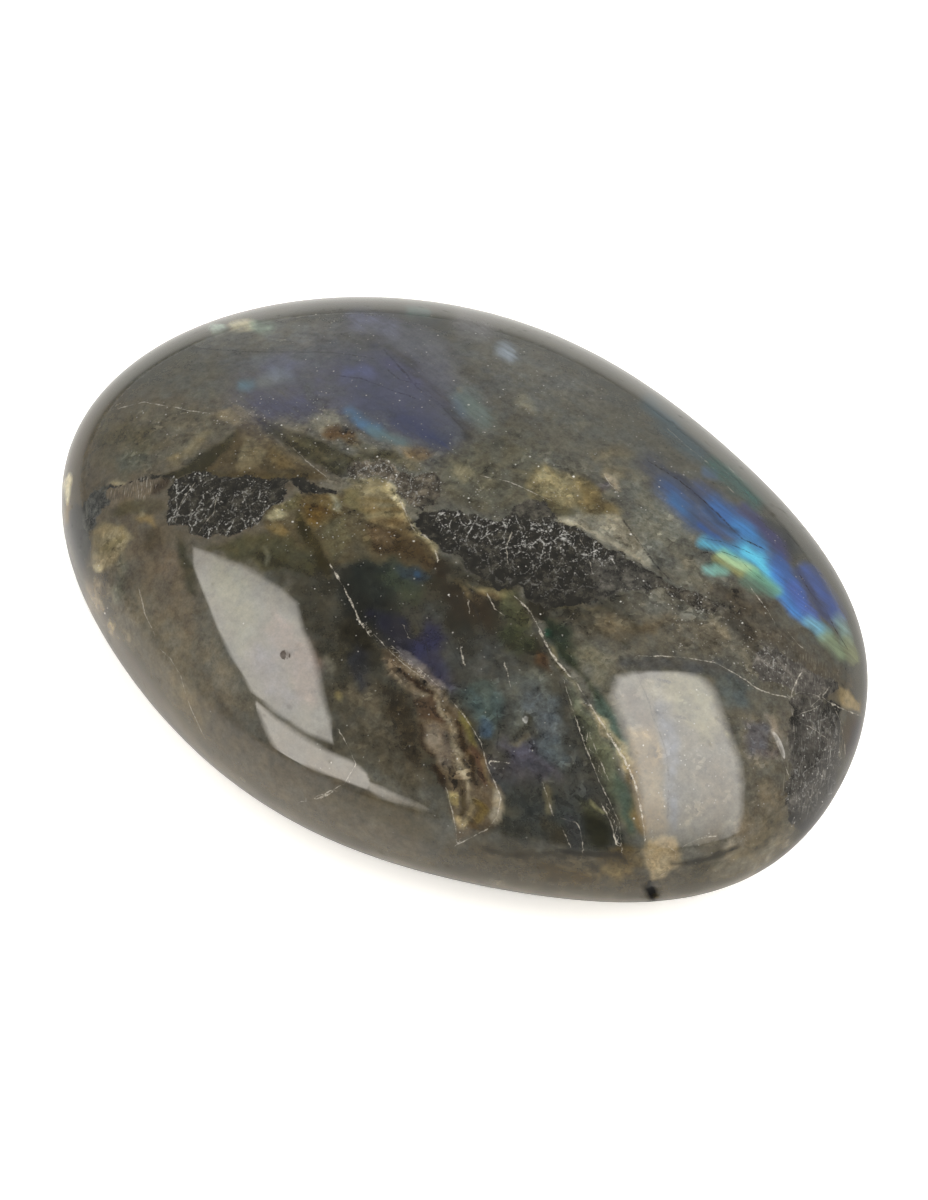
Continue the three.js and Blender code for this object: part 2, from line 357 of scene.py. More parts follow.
    ("dark foot", (58, 61, 58), 0.7, 0, 16, 8, "500,786 540,776 560,800 620,830 624,850 560,850 498,846"),
    ("brown beside the foot", (66, 60, 47), 0.6, 16, 8, 6, "548,822 552,836 560,846"),
    ("violet box", (60, 61, 62), 0.85, 14, 5, 3, "568,818 574,830 578,846"),
    ("olive box", (44, 44, 33), 0.85, 16, 7, 4, "588,814 598,830 604,848"),
    ("olive above the box", (70, 72, 54), 0.6, 12, 6, 5, "578,800 590,808 600,816"),
    ("cream flecks above the box", (150, 148, 110), 0.8, 3, 2, 6, "584,796 596,804 606,814"),
    ("tan column", (112, 106, 84), 0.75, 6, 4, 5, "544,786 548,800 552,816"),
    ("grey crumbs of the foot", (92, 90, 78), 0.6, 6, 4, 6, "500,806 512,814 526,812"),
    ("olive strip", (98, 102, 82), 0.8, 14, 5, 3, "572,690 590,724 606,760 620,800 632,836"),
    ("teal strip", (74, 98, 88), 0.75, 13, 5, 3, "596,690 612,724 626,764"),
    ("teal strip foot", (76, 92, 82), 0.75, 13, 6, 3, "616,776 628,806 632,830"),
    ("dark edge of the olive strip", (55, 57, 47), 0.5, 4, 3, 2,
     "566,690 578,724 592,758 604,786 616,812 622,842"),
    ("pale field right of the crack", (118, 114, 94), 0.7, 0, 12, 8,
     "570,646 590,636 612,664 616,700 604,690 584,664"),
    ("tan beside the crack", (166, 155, 126), 0.9, 9, 4, 7,
     "588,702 600,716 610,732 618,748 630,774 638,800"),
    ("crumbs over the crack", (128, 122, 96), 0.75, 5, 3, 5, "548,644 560,662 574,680 586,700"),
    ("dark beside the crack", (48, 52, 40), 0.75, 5, 3, 3, "556,640 572,662 590,684 604,706"),
    # the lobe that the first crack rounds
    ("blue-violet front", (60, 60, 82), 0.7, 20, 9, 5, "420,640 432,664 450,690"),
    ("lobe ground", (98, 87, 71), 0.95, 0, 3, 5,
     "382,648 404,652 424,668 442,690 462,716 478,744 490,772 501,796 499,816 488,832 460,842 451,816 "
     "447,784 431,752 419,728 419,704 396,680"),
    ("lilac edge", (112, 107, 106), 0.95, 0, 2, 3,
     "398,645 410,652 424,664 438,679 447,691 440,692 428,682 414,668 402,656"),
    ("pale foot of the lilac edge", (146, 138, 126), 0.8, 3, 2, 4, "404,662 418,676 430,688 442,698"),
    ("pinkish crumbs of the lobe", (98, 88, 75), 0.9, 0, 3, 6,
     "382,656 396,656 408,670 424,688 416,700 402,686 388,672"),
    ("cream crumbs of the lobe", (134, 124, 104), 0.75, 3, 2.5, 6, "392,672 402,684 416,694 432,700"),
    ("dark line of the lobe", (44, 34, 26), 0.9, 5, 2, 6, "400,668 414,684 428,694 436,706"),
    ("red-brown of the lobe", (68, 54, 43), 0.9, 0, 3, 6,
     "414,700 430,698 440,708 446,722 436,722 424,716"),
    ("mauve of the lobe", (106, 97, 86), 0.92, 0, 3, 6,
     "422,726 436,724 446,734 454,752 456,768 444,766 432,752"),
    ("pale crumb of the mauve", (124, 114, 98), 0.75, 5, 3, 6, "430,730 438,742 440,756"),
    ("dark by the mauve", (46, 38, 30), 0.85, 4, 2.5, 5, "420,722 426,742 436,764"),
    ("dark spot of the lobe", (44, 34, 26), 0.9, 7, 3, 6, "436,768 444,778 448,790"),
    ("pale rib", (150, 140, 118), 0.9, 5, 2.5, 6, "432,698 446,716 456,738 463,760 468,780 472,800"),
    ("pale rib foot", (138, 127, 98), 0.8, 5.5, 3, 5, "474,796 472,814 464,830"),
    ("dark side of the rib", (52, 42, 30), 0.9, 4, 2, 4, "450,708 464,734 472,760 476,784"),
    ("olive of the lobe", (104, 98, 58), 0.9, 6, 2.5, 3, "458,712 468,728 475,746"),
    ("red-brown side", (84, 64, 50), 0.9, 7, 3, 4, "474,748 482,766 487,784"),
    ("brown rib", (116, 102, 76), 0.8, 3, 2, 4, "480,752 487,772 493,790"),
    ("yellow crumb", (172, 158, 106), 0.95, 8, 2.5, 4, "450,794 456,804"),
    ("dark by the yellow crumb", (58, 50, 34), 0.85, 4, 2, 4, "462,790 465,806 460,818"),
    ("gold of the foot", (122, 104, 60), 0.9, 7, 3, 4, "478,798 482,812 478,824"),
    ("brown foot of the lobe", (92, 76, 52), 0.8, 5, 3, 4, "470,822 478,832"),
    ("cream crumb of the lobe", (182, 166, 128), 0.9, 8, 3, 5, "456,814 464,828"),
    ("pale tip", (150, 142, 124), 0.9, 9, 3, 4, "494,790 498,806 492,824"),
    ("gold ring", (152, 140, 96), 0.8, 8, 4, 3, "338,692 340,700"),
    ("crumbs by the glare", (126, 126, 116), 0.55, 10, 5, 6, "324,658 330,680"),
    # right of the vein
    ("blue-grey under the vein", (92, 94, 96), 0.75, 18, 9, 6, "580,590 596,596 612,594"),
    ("dark under the vein", (60, 58, 50), 0.55, 0, 14, 8,
     "540,594 600,596 640,606 640,640 590,636 556,622"),
    ("brown under the vein", (110, 102, 84), 0.6, 16, 9, 8, "596,626 636,632"),
    ("fawn right", (92, 87, 76), 0.7, 22, 12, 8, "650,620 700,634 740,650"),
    ("dark band over the right glare", (76, 77, 78), 0.8, 14, 7, 3, "622,664 660,664 704,668 740,680"),
    ("tan under the glare", (128, 110, 78), 0.9, 0, 10, 6,
     "628,730 650,726 664,750 668,800 664,836 644,836 636,780"),
    ("pinkish under the glare", (86, 78, 70), 0.8, 20, 9, 5, "630,690 640,712 650,730"),
    ("blue-grey under the glare", (94, 100, 112), 0.9, 14, 7, 4, "660,694 668,740 672,790 676,830"),
    ("green cream under the glare", (116, 114, 88), 0.85, 0, 10, 6,
     "664,668 700,674 716,706 722,738 700,744 680,716 668,690"),
    ("white crumbs under the glare", (150, 146, 124), 0.6, 9, 6, 7, "648,680 658,690 672,698"),
    ("crumb column under the glare", (150, 145, 120), 0.7, 6, 4, 7, "708,704 716,722 724,740"),
    ("crumbs low under the glare", (140, 134, 116), 0.7, 5, 3, 7, "680,830 694,818 704,806"),
    ("crumbs at the foot of the glare", (138, 132, 114), 0.7, 4, 3, 6, "702,838 720,828 736,822"),
    ("beige under the glare", (102, 94, 80), 0.8, 26, 12, 6, "712,752 716,800 706,840"),
    ("teal by the glare", (92, 100, 100), 0.8, 20, 9, 4, "716,676 736,694 748,706"),
    ("brown by the glare", (120, 114, 101), 0.85, 30, 12, 6, "748,716 760,740 756,770"),
    ("blue-grey by the glare", (98, 98, 104), 0.6, 20, 10, 5, "752,752 760,736"),
    ("brown lower right", (118, 109, 93), 0.85, 0, 14, 6,
     "742,780 780,770 800,800 780,830 740,850 744,810"),
    ("grey of the shoulder", (116, 110, 100), 0.7, 24, 9, 6, "782,712 784,740 782,764"),
    ("blue-grey right of the glare", (98, 98, 106), 0.7, 22, 9, 6, "746,728 756,740 762,752"),
    ("shoulder hollow", (150, 139, 124), 0.75, 7, 3, 6, "764,714 772,726 777,740"),
    ("pink crumbs of the shoulder", (136, 124, 118), 0.7, 5, 3, 6, "758,750 770,754 776,748"),
    ("tan by the rim", (142, 124, 88), 0.75, 9, 5, 4, "848,692 860,708"),
    ("tan beyond the block", (164, 147, 112), 1.0, 0, 4, 5,
     "838,687 849,688 861,700 863,716 848,711 838,702"),
    ("brown rim patch", (74, 60, 44), 0.7, 18, 9, 5, "852,720 850,750"),
    ("cream blob", (172, 154, 120), 0.95, 0, 4, 5,
     "646,842 660,838 676,840 680,850 676,862 664,874 652,880 646,872 640,858"),
    ("cream blob shadow", (104, 89, 58), 0.75, 14, 7, 6, "606,872 630,862 640,866"),
    ("cream run up the crack", (136, 112, 72), 0.7, 12, 6, 5, "630,770 638,800 644,834"),
    ("dark nick", (20, 20, 17), 1.0, 9, 3, 3, "651,881 650,892 652,904"),
    ("rust under the foot", (86, 72, 46), 0.75, 14, 6, 6, "600,860 618,858 634,852"),
    ("tan under the foot", (130, 115, 82), 0.8, 16, 7, 6, "598,876 612,872 628,872"),
    ("fawn under the foot", (108, 98, 76), 0.65, 7, 4, 6, "560,868 576,874 590,872"),
    ("brown front run", (84, 72, 50), 0.8, 10, 5, 6, "530,866 560,876 590,882"),
    ("tan front crumbs", (104, 97, 80), 0.5, 6, 5, 6, "486,860 508,864 528,862"),
    ("dark front crumbs", (52, 48, 38), 0.8, 5, 3, 6, "478,852 500,856 540,856 570,858"),
    ("dark foot line", (38, 36, 31), 0.85, 5, 3, 2, "556,850 580,854 602,855 618,856 626,862"),
    ("dark curve under the glare", (44, 42, 36), 0.85, 5, 3, 2, "672,862 690,861 708,858 724,853 738,846"),
    ("pale crumbs lower right", (140, 134, 116), 0.75, 4, 3, 4, "714,870 722,864 730,858 744,846"),
    ("olive lower right rim", (104, 96, 76), 0.8, 12, 6, 5, "736,858 760,838 784,812"),
    # pale and cool spots of the upper side
    ("olive spot", (144, 142, 124), 0.8, 12, 7, 7, "508,402 518,402 528,410"),
    ("cool patch", (96, 106, 98), 0.6, 16, 9, 5, "462,398 480,408"),
    ("orange fleck", (156, 140, 112), 0.7, 4, 3, 3, "456,385 462,390"),
    ("level dark band", (92, 92, 88), 0.6, 9, 6, 4, "190,352 260,350 330,352"),
    ("cool pale band", (122, 126, 130), 0.5, 18, 12, 6, "250,362 290,358 320,362"),
    ("warm grey of the left", (96, 95, 88), 0.55, 24, 14, 6, "150,366 190,372 226,380"),
    ("dark diagonal", (76, 74, 66), 0.85, 13, 6, 4, "384,350 404,362 424,384 446,406 462,424 470,442"),
    ("dark beside the hazy purple", (88, 88, 82), 0.6, 12, 8, 5, "350,338 380,346 404,358"),
    ("long dark diagonal", (90, 89, 83), 0.75, 12, 8, 5, "452,352 478,376 506,402 540,428 566,450"),
    ("dark top", (90, 90, 84), 0.5, 14, 10, 5, "300,318 330,312 352,314"),
    ("grey-purple top", (112, 112, 112), 0.6, 14, 12, 6, "300,334 330,330 352,330"),
    ("pale diagonal", (110, 110, 104), 0.5, 12, 10, 5, "420,340 450,366 480,392"),
    ("dark above the belt", (76, 76, 72), 0.6, 14, 10, 6, "262,408 300,408 330,400"),
    ("fog near the wedge", (126, 127, 116), 0.75, 40, 18, 8, "640,496 660,520 680,546"),
    ("dark band to the block", (62, 58, 51), 0.75, 16, 6, 7, "718,604 734,622 748,638 762,652"),
    ("crumbs beside the dark band", (128, 121, 104), 0.7, 6, 4, 7, "708,614 718,634 730,654"),
    ("brown under the flash", (78, 71, 60), 0.7, 14, 7, 6, "712,586 736,598 764,614"),
    ("brown near the flash", (110, 106, 92), 0.7, 24, 12, 8, "680,560 700,580"),
    ("dark beyond the flash", (72, 74, 74), 0.8, 26, 9, 5, "756,520 776,536 792,552"),
    ("pale wedge", (140, 136, 121), 0.95, 0, 2.5, 2,
     "561,520 574,524 597,537 619,549 636,560 654,570 648,556 640,542 630,529 620,517 611,512 597,516 "
     "581,513"),
    ("wedge edge", (166, 160, 140), 0.85, 5, 4, 3, "556,516 572,521 590,530"),
    ("wedge rim", (148, 141, 122), 0.7, 4, 3, 2, "590,531 612,543 632,556 652,570"),
)

# Clouds on the side that the photograph hides, placed by noise:
# what it is, tone, strength, size in millimetres, seed, and the noise where it starts and where it is full
HIDDEN_CLOUDS = (
    ("olive clouds", (80, 78, 62), 0.8, 9.0, 21, -0.1, 0.5),
    ("blue-grey clouds", (92, 98, 104), 0.7, 7.0, 22, 0.2, 0.7),
    ("brown clouds", (82, 70, 54), 0.8, 6.0, 23, 0.25, 0.6),
    ("tan patches", (138, 124, 94), 0.8, 4.0, 24, 0.5, 0.75),
    ("dark patches", (52, 51, 45), 0.85, 5.0, 25, 0.45, 0.6),
)

# The dark vein and the dark block at its end: areas with crisp, ragged edges
VEIN = [points_of(text) for text in (
    "76,508 84,500 96,488 107,486 107,499 104,510 96,522 90,535 87,552 84,575 80,562 72,547 67,532 70,517",
    "98,487 108,484 136,480 164,477 176,475 176,478 150,481 120,483 104,488",
    "167,489 179,480 203,473 232,475 258,476 289,478 287,490 274,506 255,523 232,532 206,538 184,528 "
    "168,521",
    "281,478 300,480 321,486 336,486 334,491 318,492 300,490",
    "345,467 360,460 383,462 408,474 422,472 434,474 440,486 438,502 423,512 408,503 395,486 375,476 "
    "350,474",
    "414,512 440,510 469,514 499,522 522,503 543,502 563,521 587,531 604,543 628,558 651,572 668,584 "
    "650,592 622,590 600,600 572,606 548,610 520,590 498,592 476,572 456,560 436,545 420,530",
    "664,584 682,588 704,594 722,606 712,612 688,604 668,598",
    "757,652 768,646 782,650 800,662 820,672 836,682 837,691 826,699 814,702 796,694 780,688 764,682 "
    "756,668",
    "790,697 804,698 826,700 838,706 844,737 841,769 828,808 804,834 790,822 786,800 791,769 789,730",
)]
VEIN_TONE = (56, 55, 51)
# Where the vein is paler: name, tone, width, route
VEIN_TONES = marks(
    ("left stub", (84, 86, 84), 46, "70,530 96,500 84,580"),
    ("grey end of the block", (92, 90, 87), 72, "812,712 814,770 802,820"),
    ("speckled part", (92, 87, 78), 60, "360,470 400,478 436,490"),
    ("grey top", (86, 84, 78), 18, "506,516 530,506 554,512"),
    ("grey end", (84, 83, 79), 34, "590,572 622,582 654,584"),
    ("brown flecked part", (88, 84, 76), 22, "664,590 716,606"),
    ("brown flecked block", (106, 103, 99), 54, "756,656 790,672 824,688"),
)

# Silvery crackle inside the vein: strength, width, softness, route
CRACKLE = marks(
    (0.25, 56, 14, "176,506 206,506 236,504 262,492"),
    (1.0, 22, 8, "176,520 174,500 186,486 206,478"),
    (0.8, 20, 8, "214,478 212,500 202,520"),
    (1.0, 16, 8, "186,526 210,534 240,530 262,518 282,502"),
    (0.6, 14, 8, "232,486 252,500 270,488"),
    (0.15, 30, 12, "70,540 90,510 104,496"),
    (0.55, 34, 12, "362,470 396,480 432,490"),
    (1.0, 22, 8, "430,512 446,516 462,518"),
    (1.0, 30, 12, "440,520 470,526 510,534 550,540 590,552 616,568"),
    (0.3, 40, 12, "450,540 510,560 550,574 590,580"),
    (0.25, 24, 10, "640,590 690,600 716,610"),
    (0.5, 20, 8, "758,652 774,656 786,668"),
    (0.9, 8, 4, "770,652 772,664 778,674 786,682"),
    (0.35, 46, 12, "816,710 822,750 812,790 796,820"),
)
# Bright specks, painted glints: strength, width, softness, route
GLITTER = marks(
    (0.65, 40, 16, "170,506 220,506 290,492"),
    (1.3, 34, 14, "350,468 390,478 440,484"),
    (0.8, 30, 16, "440,486 500,500"),
    (0.7, 50, 20, "430,520 520,545 600,575 660,590"),
    (0.9, 60, 20, "650,600 730,636 800,684"),
    (0.35, 110, 20, "690,690 700,840"),
    (0.9, 20, 8, "306,420 324,412 340,420"),
    (0.8, 16, 8, "216,414 236,408 250,414"),
    (0.6, 16, 10, "100,408 160,408 210,414"),
    (0.6, 12, 8, "300,466 318,472 330,480"),
    (0.6, 60, 30, "250,500 320,520 400,540"),
    (0.7, 30, 14, "500,470 540,480 600,500"),
    (0.7, 18, 10, "504,400 530,412"),
    (0.8, 50, 18, "816,700 822,760 800,820"),
    (0.6, 14, 8, "330,568 390,650 460,720 470,800"),
    (0.7, 16, 8, "520,600 560,668 600,720 640,800 652,870"),
    (0.6, 30, 12, "690,850 730,840 760,800"),
    (0.6, 12, 8, "752,506 780,544 800,590 816,620"),
    (0.7, 8, 5, "698,514 714,522"),
    (0.5, 16, 8, "86,540 90,570 98,610 116,640"),
    (0.2, 260, 60, "300,600 560,740"),
    (0.35, 160, 50, "280,340 400,380 560,430 680,500"),
    (0.7, 50, 24, "200,412 300,424 420,446"),
    (0.5, 30, 20, "120,440 160,440 250,466 320,470"),
    (0.16, 900, 40, "460,600 470,600"),
)
# Unpolished nicks: strength, width, softness, route
NICKS = marks(
    (1.0, 13, 4, "650,882 652,903"),
)
# Where the ground is broken into many shades: strength, width, softness, route
UNREST = marks(
    (0.3, 1200, 40, "460,600 470,600"),
    (1.0, 70, 30, "230,430 300,440 350,450 440,460"),
    (1.2, 14, 8, "180,410 230,406 262,424 300,422 330,410 356,442 430,454"),
    (1.0, 60, 20, "280,510 340,500 400,520 430,550"),
    (1.6, 12, 6, "384,484 402,504 410,524 432,544 438,564"),
    (1.5, 12, 6, "262,516 280,506 304,494 336,496"),
    (1.2, 16, 8, "548,644 574,682 612,736 640,800"),
    (1.0, 90, 40, "440,470 520,480 600,520 700,590 780,670"),
    (1.15, 60, 24, "640,600 720,630 790,670"),
    (0.9, 90, 16, "690,700 700,820"),
    (0.8, 40, 16, "770,700 770,780 760,830"),
    (0.9, 50, 20, "110,430 160,440 205,430"),
    (0.8, 90, 30, "350,640 390,720 420,790"),
    (1.0, 40, 16, "110,540 100,600 130,660"),
    (1.6, 40, 10, "386,660 430,700 460,760 472,826"),
    (1.2, 40, 16, "440,580 500,602 580,616 660,610"),
    (0.9, 220, 60, "540,640 560,800"),
    (0.7, 26, 12, "500,858 560,864 640,868 690,862"),
    (0.5, 60, 30, "690,870 800,800"),
)
# Faint level bands: strength, width, softness, route
BANDS = marks(
    (1.0, 60, 50, "190,360 280,345 370,350"),
    (0.6, 40, 40, "340,320 420,330 480,350"),
    (0.9, 70, 40, "290,385 370,385 430,420"),
)
# Fine parallel scratches: strength, width, softness, route
HATCH = marks(
    (1.0, 18, 4, "108,494 130,492 150,488 162,484"),
    (0.6, 56, 8, "812,706 818,750 804,816"),
    (0.4, 50, 8, "766,660 796,674 828,688"),
)

# White cleavage cracks: width in millimetres, strength, route
CRACKS = marks(
    (0.15, 1.0, "331,566 343,586 350,600 356,612 360,622 371,636"),
    (0.07, 0.5, "364,622 372,632 391,652 404,664 420,676"),
    (0.09, 0.6,
     "392,646 412,662 432,680 449,697 465,717 481,742 488,769 495,783 501,799 497,816 488,829 456,845"),
    (0.08, 0.5, "446,788 451,806 455,826 457,844"),
    (0.14, 0.9,
     "516,597 530,611 541,632 548,648 562,668 576,682 596,714 610,737 624,758 635,783 642,815 645,838"),
    (0.12, 0.85, "540,632 548,648 556,660 566,672"),
    (0.08, 0.6, "564,682 573,710 585,746 598,778 608,798 619,822 622,850"),
    (0.08, 0.55, "590,735 598,756 608,779"),
    (0.1, 0.75, "603,806 612,826 616,844"),
    (0.07, 0.55, "563,818 577,823 582,836 583,850"),
    (0.08, 0.5, "563,830 570,845"),
    (0.08, 0.5, "139,588 145,614 153,631 160,649 170,658 180,674 186,696 194,715 204,737"),
    (0.09, 0.7, "638,656 660,656 690,658 716,663 732,672 746,680 756,688 772,694 789,698"),
    (0.1, 0.8, "826,700 840,708 852,713 863,716"),
    (0.1, 0.8, "800,674 794,686 790,700 793,716 795,740"),
    (0.07, 0.6, "789,698 800,692 812,694 824,698"),
    (0.07, 0.6, "797,716 806,712 816,708"),
    (0.07, 0.6, "832,704 840,720 844,738 846,762"),
    (0.07, 0.6, "800,722 812,728 826,738"),
    (0.08, 0.6, "838,672 826,692 812,706"),
    (0.1, 0.6, "120,408 144,402 160,405 176,407 190,411 208,413"),
    (0.08, 0.65, "482,476 498,479 512,483 526,489 540,496 550,500"),
    (0.09, 0.7, "751,588 760,600 768,611"),
    (0.06, 0.45, "768,611 774,622"),
    (0.08, 0.6, "788,632 798,644 808,652"),
    (0.07, 0.6, "339,731 347,744 356,764 344,784 326,793 308,800"),
    (0.08, 0.5, "669,430 688,447 707,462"),
    (0.07, 0.45, "715,453 728,467 742,480"),
    (0.08, 0.6, "724,483 734,493"),
    (0.1, 0.8, "401,502 408,518 414,531 424,535 434,545 438,560"),
    (0.1, 0.5, "293,448 308,462 326,477"),
    (0.12, 0.75, "460,643 464,664"),
    (0.11, 0.8, "504,664 508,674 510,684"),
    (0.08, 0.5, "404,627 408,636"),
    (0.08, 0.7, "488,595 495,609 503,615"),
    (0.08, 0.6, "468,602 470,611"),
    (0.11, 0.9, "490,761 499,762 507,763"),
    (0.11, 0.6, "543,785 548,798 552,813"),
    (0.08, 0.7, "276,340 286,340"),
    (0.08, 0.6, "604,474 610,484 618,492"),
    (0.07, 0.5, "777,742 782,758 788,774"),
    (0.08, 0.6, "684,846 700,838 716,836"),
    (0.07, 0.5, "652,850 668,846 676,852 674,866 660,876"),
    (0.1, 0.6, "300,802 320,798 334,792"),
    (0.1, 0.7, "512,532 506,548 508,562"),
    (0.08, 0.6, "580,540 588,552 592,572"),
    (0.07, 0.5, "176,520 182,500 194,484"),
    (0.07, 0.5, "200,530 214,512 216,498"),
)
# Dark hairlines: width in millimetres, strength, route
SEAMS = marks(
    (0.16, 0.8, "650,462 676,478 700,497 722,518 742,539 762,548"),
    (0.16, 0.8, "623,520 638,541 655,564 669,579"),
    (0.12, 0.6, "703,538 720,541 740,548 756,556 770,560"),
    (0.12, 0.6, "799,573 810,592 826,610 835,629 847,648"),
    (0.1, 0.6, "722,552 738,558 752,572 762,580"),
    (0.14, 0.5, "339,376 360,378 386,388 415,398"),
    (0.16, 0.5, "384,350 404,372 418,388 440,404 464,430"),
    (0.14, 0.5, "388,370 400,380 420,384"),
    (0.14, 0.5, "196,348 250,352 330,352 372,358"),
    (0.12, 0.7, "497,712 499,730 497,748"),
    (0.14, 0.7, "456,686 466,688"),
    (0.14, 0.6, "560,684 572,716 586,752 600,784 614,812 620,846"),
    (0.13, 0.8, "637,675 646,695 656,724 666,750 669,779"),
    (0.18, 1.0, "668,793 668,816"),
    (0.3, 0.9, "660,680 668,682"),
    (0.25, 0.9, "676,716 688,719"),
    (0.16, 0.9, "706,755 705,771"),
    (0.1, 0.5, "355,762 351,776"),
    (0.12, 0.5, "412,610 424,636 430,660"),
    (0.12, 0.5, "448,640 462,668"),
    (0.14, 0.5, "470,600 480,620 486,640"),
    (0.12, 0.5, "172,522 168,500 182,482"),
)

# The play of colour, a sheen painted into the colour. Each flash: name, tone, strength, width, softness,
# route
FLASHES = marks(
    # the bright flash at the right
    ("dim start", (78, 82, 95), 0.7, 16, 16, "650,464 664,480 680,494"),
    ("left lobe", (74, 92, 128), 0.85, 18, 15, "666,488 680,504 694,518"),
    ("left lobe core", (74, 110, 156), 0.8, 8, 9, "672,499 685,512"),
    ("left lobe foot", (72, 90, 118), 0.7, 13, 12, "694,519 706,528 716,536"),
    ("purple between the lobes", (82, 88, 112), 0.65, 14, 10, "704,521 720,532 736,541"),
    ("right lobe head", (80, 90, 118), 0.85, 14, 12, "698,491 712,501 724,512"),
    ("right lobe", (72, 106, 160), 0.95, 19, 13, "716,507 732,521 746,533"),
    ("right lobe core", (77, 132, 190), 0.85, 14, 12, "738,527 752,537 764,549"),
    ("right lobe purple edge", (82, 82, 118), 0.75, 11, 9, "744,509 758,522 772,538 784,556"),
    ("dark between the lobes", (66, 70, 84), 0.75, 4, 5, "664,466 684,484 702,502 720,520 736,532"),
    ("thin blue streak", (66, 92, 150), 0.85, 4, 4, "698,525 708,531 718,536"),
    ("cyan left", (96, 168, 196), 0.95, 9, 7, "702,540 716,546 730,551"),
    ("blue over the cyan", (74, 120, 165), 0.7, 6, 6, "708,536 722,542 734,547"),
    ("teal between", (108, 168, 160), 0.85, 7, 6, "724,552 740,560 752,570"),
    ("cyan rim of the core", (84, 150, 190), 0.95, 15, 11, "742,549 756,558 768,571 777,586"),
    ("cyan core", (106, 206, 240), 1.0, 9, 8, "746,552 758,560 767,572"),
    ("blue after the core", (84, 155, 245), 0.95, 14, 11, "777,573 786,590 797,606"),
    ("blue lower edge", (82, 134, 196), 0.9, 9, 8, "783,593 796,607 806,618"),
    ("deep blue", (74, 97, 148), 0.9, 14, 11, "777,562 788,580 798,596"),
    ("violet", (86, 106, 172), 0.8, 11, 9, "793,587 803,602 814,616"),
    ("right blue", (82, 98, 150), 0.9, 13, 9, "806,570 819,586 830,604 838,618"),
    ("dark divider", (74, 79, 108), 0.75, 5, 5, "798,572 811,592 821,607 828,618"),
    ("cyan foot", (120, 171, 195), 0.95, 9, 7, "808,620 816,626 825,634"),
    ("green end", (130, 144, 118), 0.85, 10, 8, "825,636 834,646 842,653"),
    ("right teal end", (131, 157, 153), 0.85, 8, 7, "838,620 844,630 847,640"),
    ("green end outside", (128, 134, 104), 0.8, 8, 7, "847,640 851,650 854,658"),
    ("yellow green", (171, 202, 159), 0.95, 8, 7, "721,556 737,564 751,573"),
    ("green after the yellow", (117, 171, 147), 0.85, 9, 7, "752,574 764,583 776,590"),
    ("green rim", (96, 122, 108), 0.7, 9, 8, "744,580 756,586 770,593"),
    ("orange fringe", (142, 143, 99), 0.75, 5, 5, "715,560 728,567 740,574"),
    ("cyan islet", (124, 170, 166), 0.85, 6, 6, "705,568 712,570"),
    ("islet tail", (130, 178, 166), 0.7, 7, 6, "716,570 725,571"),
    ("rim teal", (78, 108, 104), 0.65, 13, 12, "714,466 732,477 746,490 756,502"),
    ("rim blue spot", (92, 106, 128), 0.75, 6, 6, "707,474 715,476"),
    ("upper rim teal", (84, 102, 110), 0.65, 13, 12, "650,404 676,432 702,456"),
    # the dim flash above the tan belt
    ("dim blue lobe", (74, 78, 92), 0.8, 0, 30,
     "348,366 380,358 408,374 440,406 458,428 455,446 436,450 416,438 388,432 360,420 344,400"),
    ("middle of the lobe", (67, 71, 87), 0.7, 18, 20, "372,392 398,408 418,424"),
    ("deep blue corner", (60, 65, 90), 0.85, 12, 14, "404,416 424,430 442,444"),
    ("violet blue spot", (93, 100, 140), 0.75, 8, 10, "349,373 359,371 368,373"),
    ("violet of the lobe", (80, 80, 105), 0.75, 8, 10, "386,361 401,373 416,385"),
    ("blue foot", (82, 112, 140), 0.9, 8, 9, "352,412 364,421 380,429"),
    ("teal foot", (94, 114, 116), 0.8, 7, 9, "374,429 390,437 406,443"),
    ("hazy purple", (112, 114, 130), 0.75, 13, 15, "356,322 374,322 390,328"),
    ("hazy purple wash", (104, 106, 115), 0.5, 24, 28, "400,336 424,350 440,366"),
    ("upper violet grey", (132, 132, 134), 0.6, 18, 18, "466,322 486,328"),
    ("light blue spot", (142, 152, 162), 0.85, 11, 10, "504,350 511,355"),
    ("teal spot", (102, 136, 142), 0.85, 7, 8, "243,385 251,384"),
    ("pale spot", (136, 144, 130), 0.8, 8, 9, "262,381 271,377 280,375"),
    ("blue by the pale spot", (134, 146, 153), 0.75, 8, 9, "276,373 288,375"),
    ("violet by the pale spot", (104, 108, 124), 0.5, 14, 14, "272,366 292,364"),
    ("violet wash", (88, 89, 104), 0.5, 56, 36, "262,396 320,384 372,378 420,400"),
    ("blue wash of the left", (80, 82, 98), 0.6, 16, 16, "262,404 284,410 306,404"),
    ("rim teal left", (168, 186, 174), 0.85, 6, 7, "215,328 221,328"),
    ("rim yellow", (188, 184, 160), 0.85, 8, 8, "234,325 250,324"),
    ("rim green", (150, 166, 152), 0.75, 7, 8, "256,326 268,327"),
    ("rim teal top", (112, 128, 126), 0.7, 7, 8, "410,311 426,312"),
    ("cool haze", (102, 114, 112), 0.65, 16, 14, "462,396 472,406 482,418"),
    ("blue of the cool haze", (92, 104, 116), 0.6, 8, 9, "456,402 462,412"),
)

# The skin

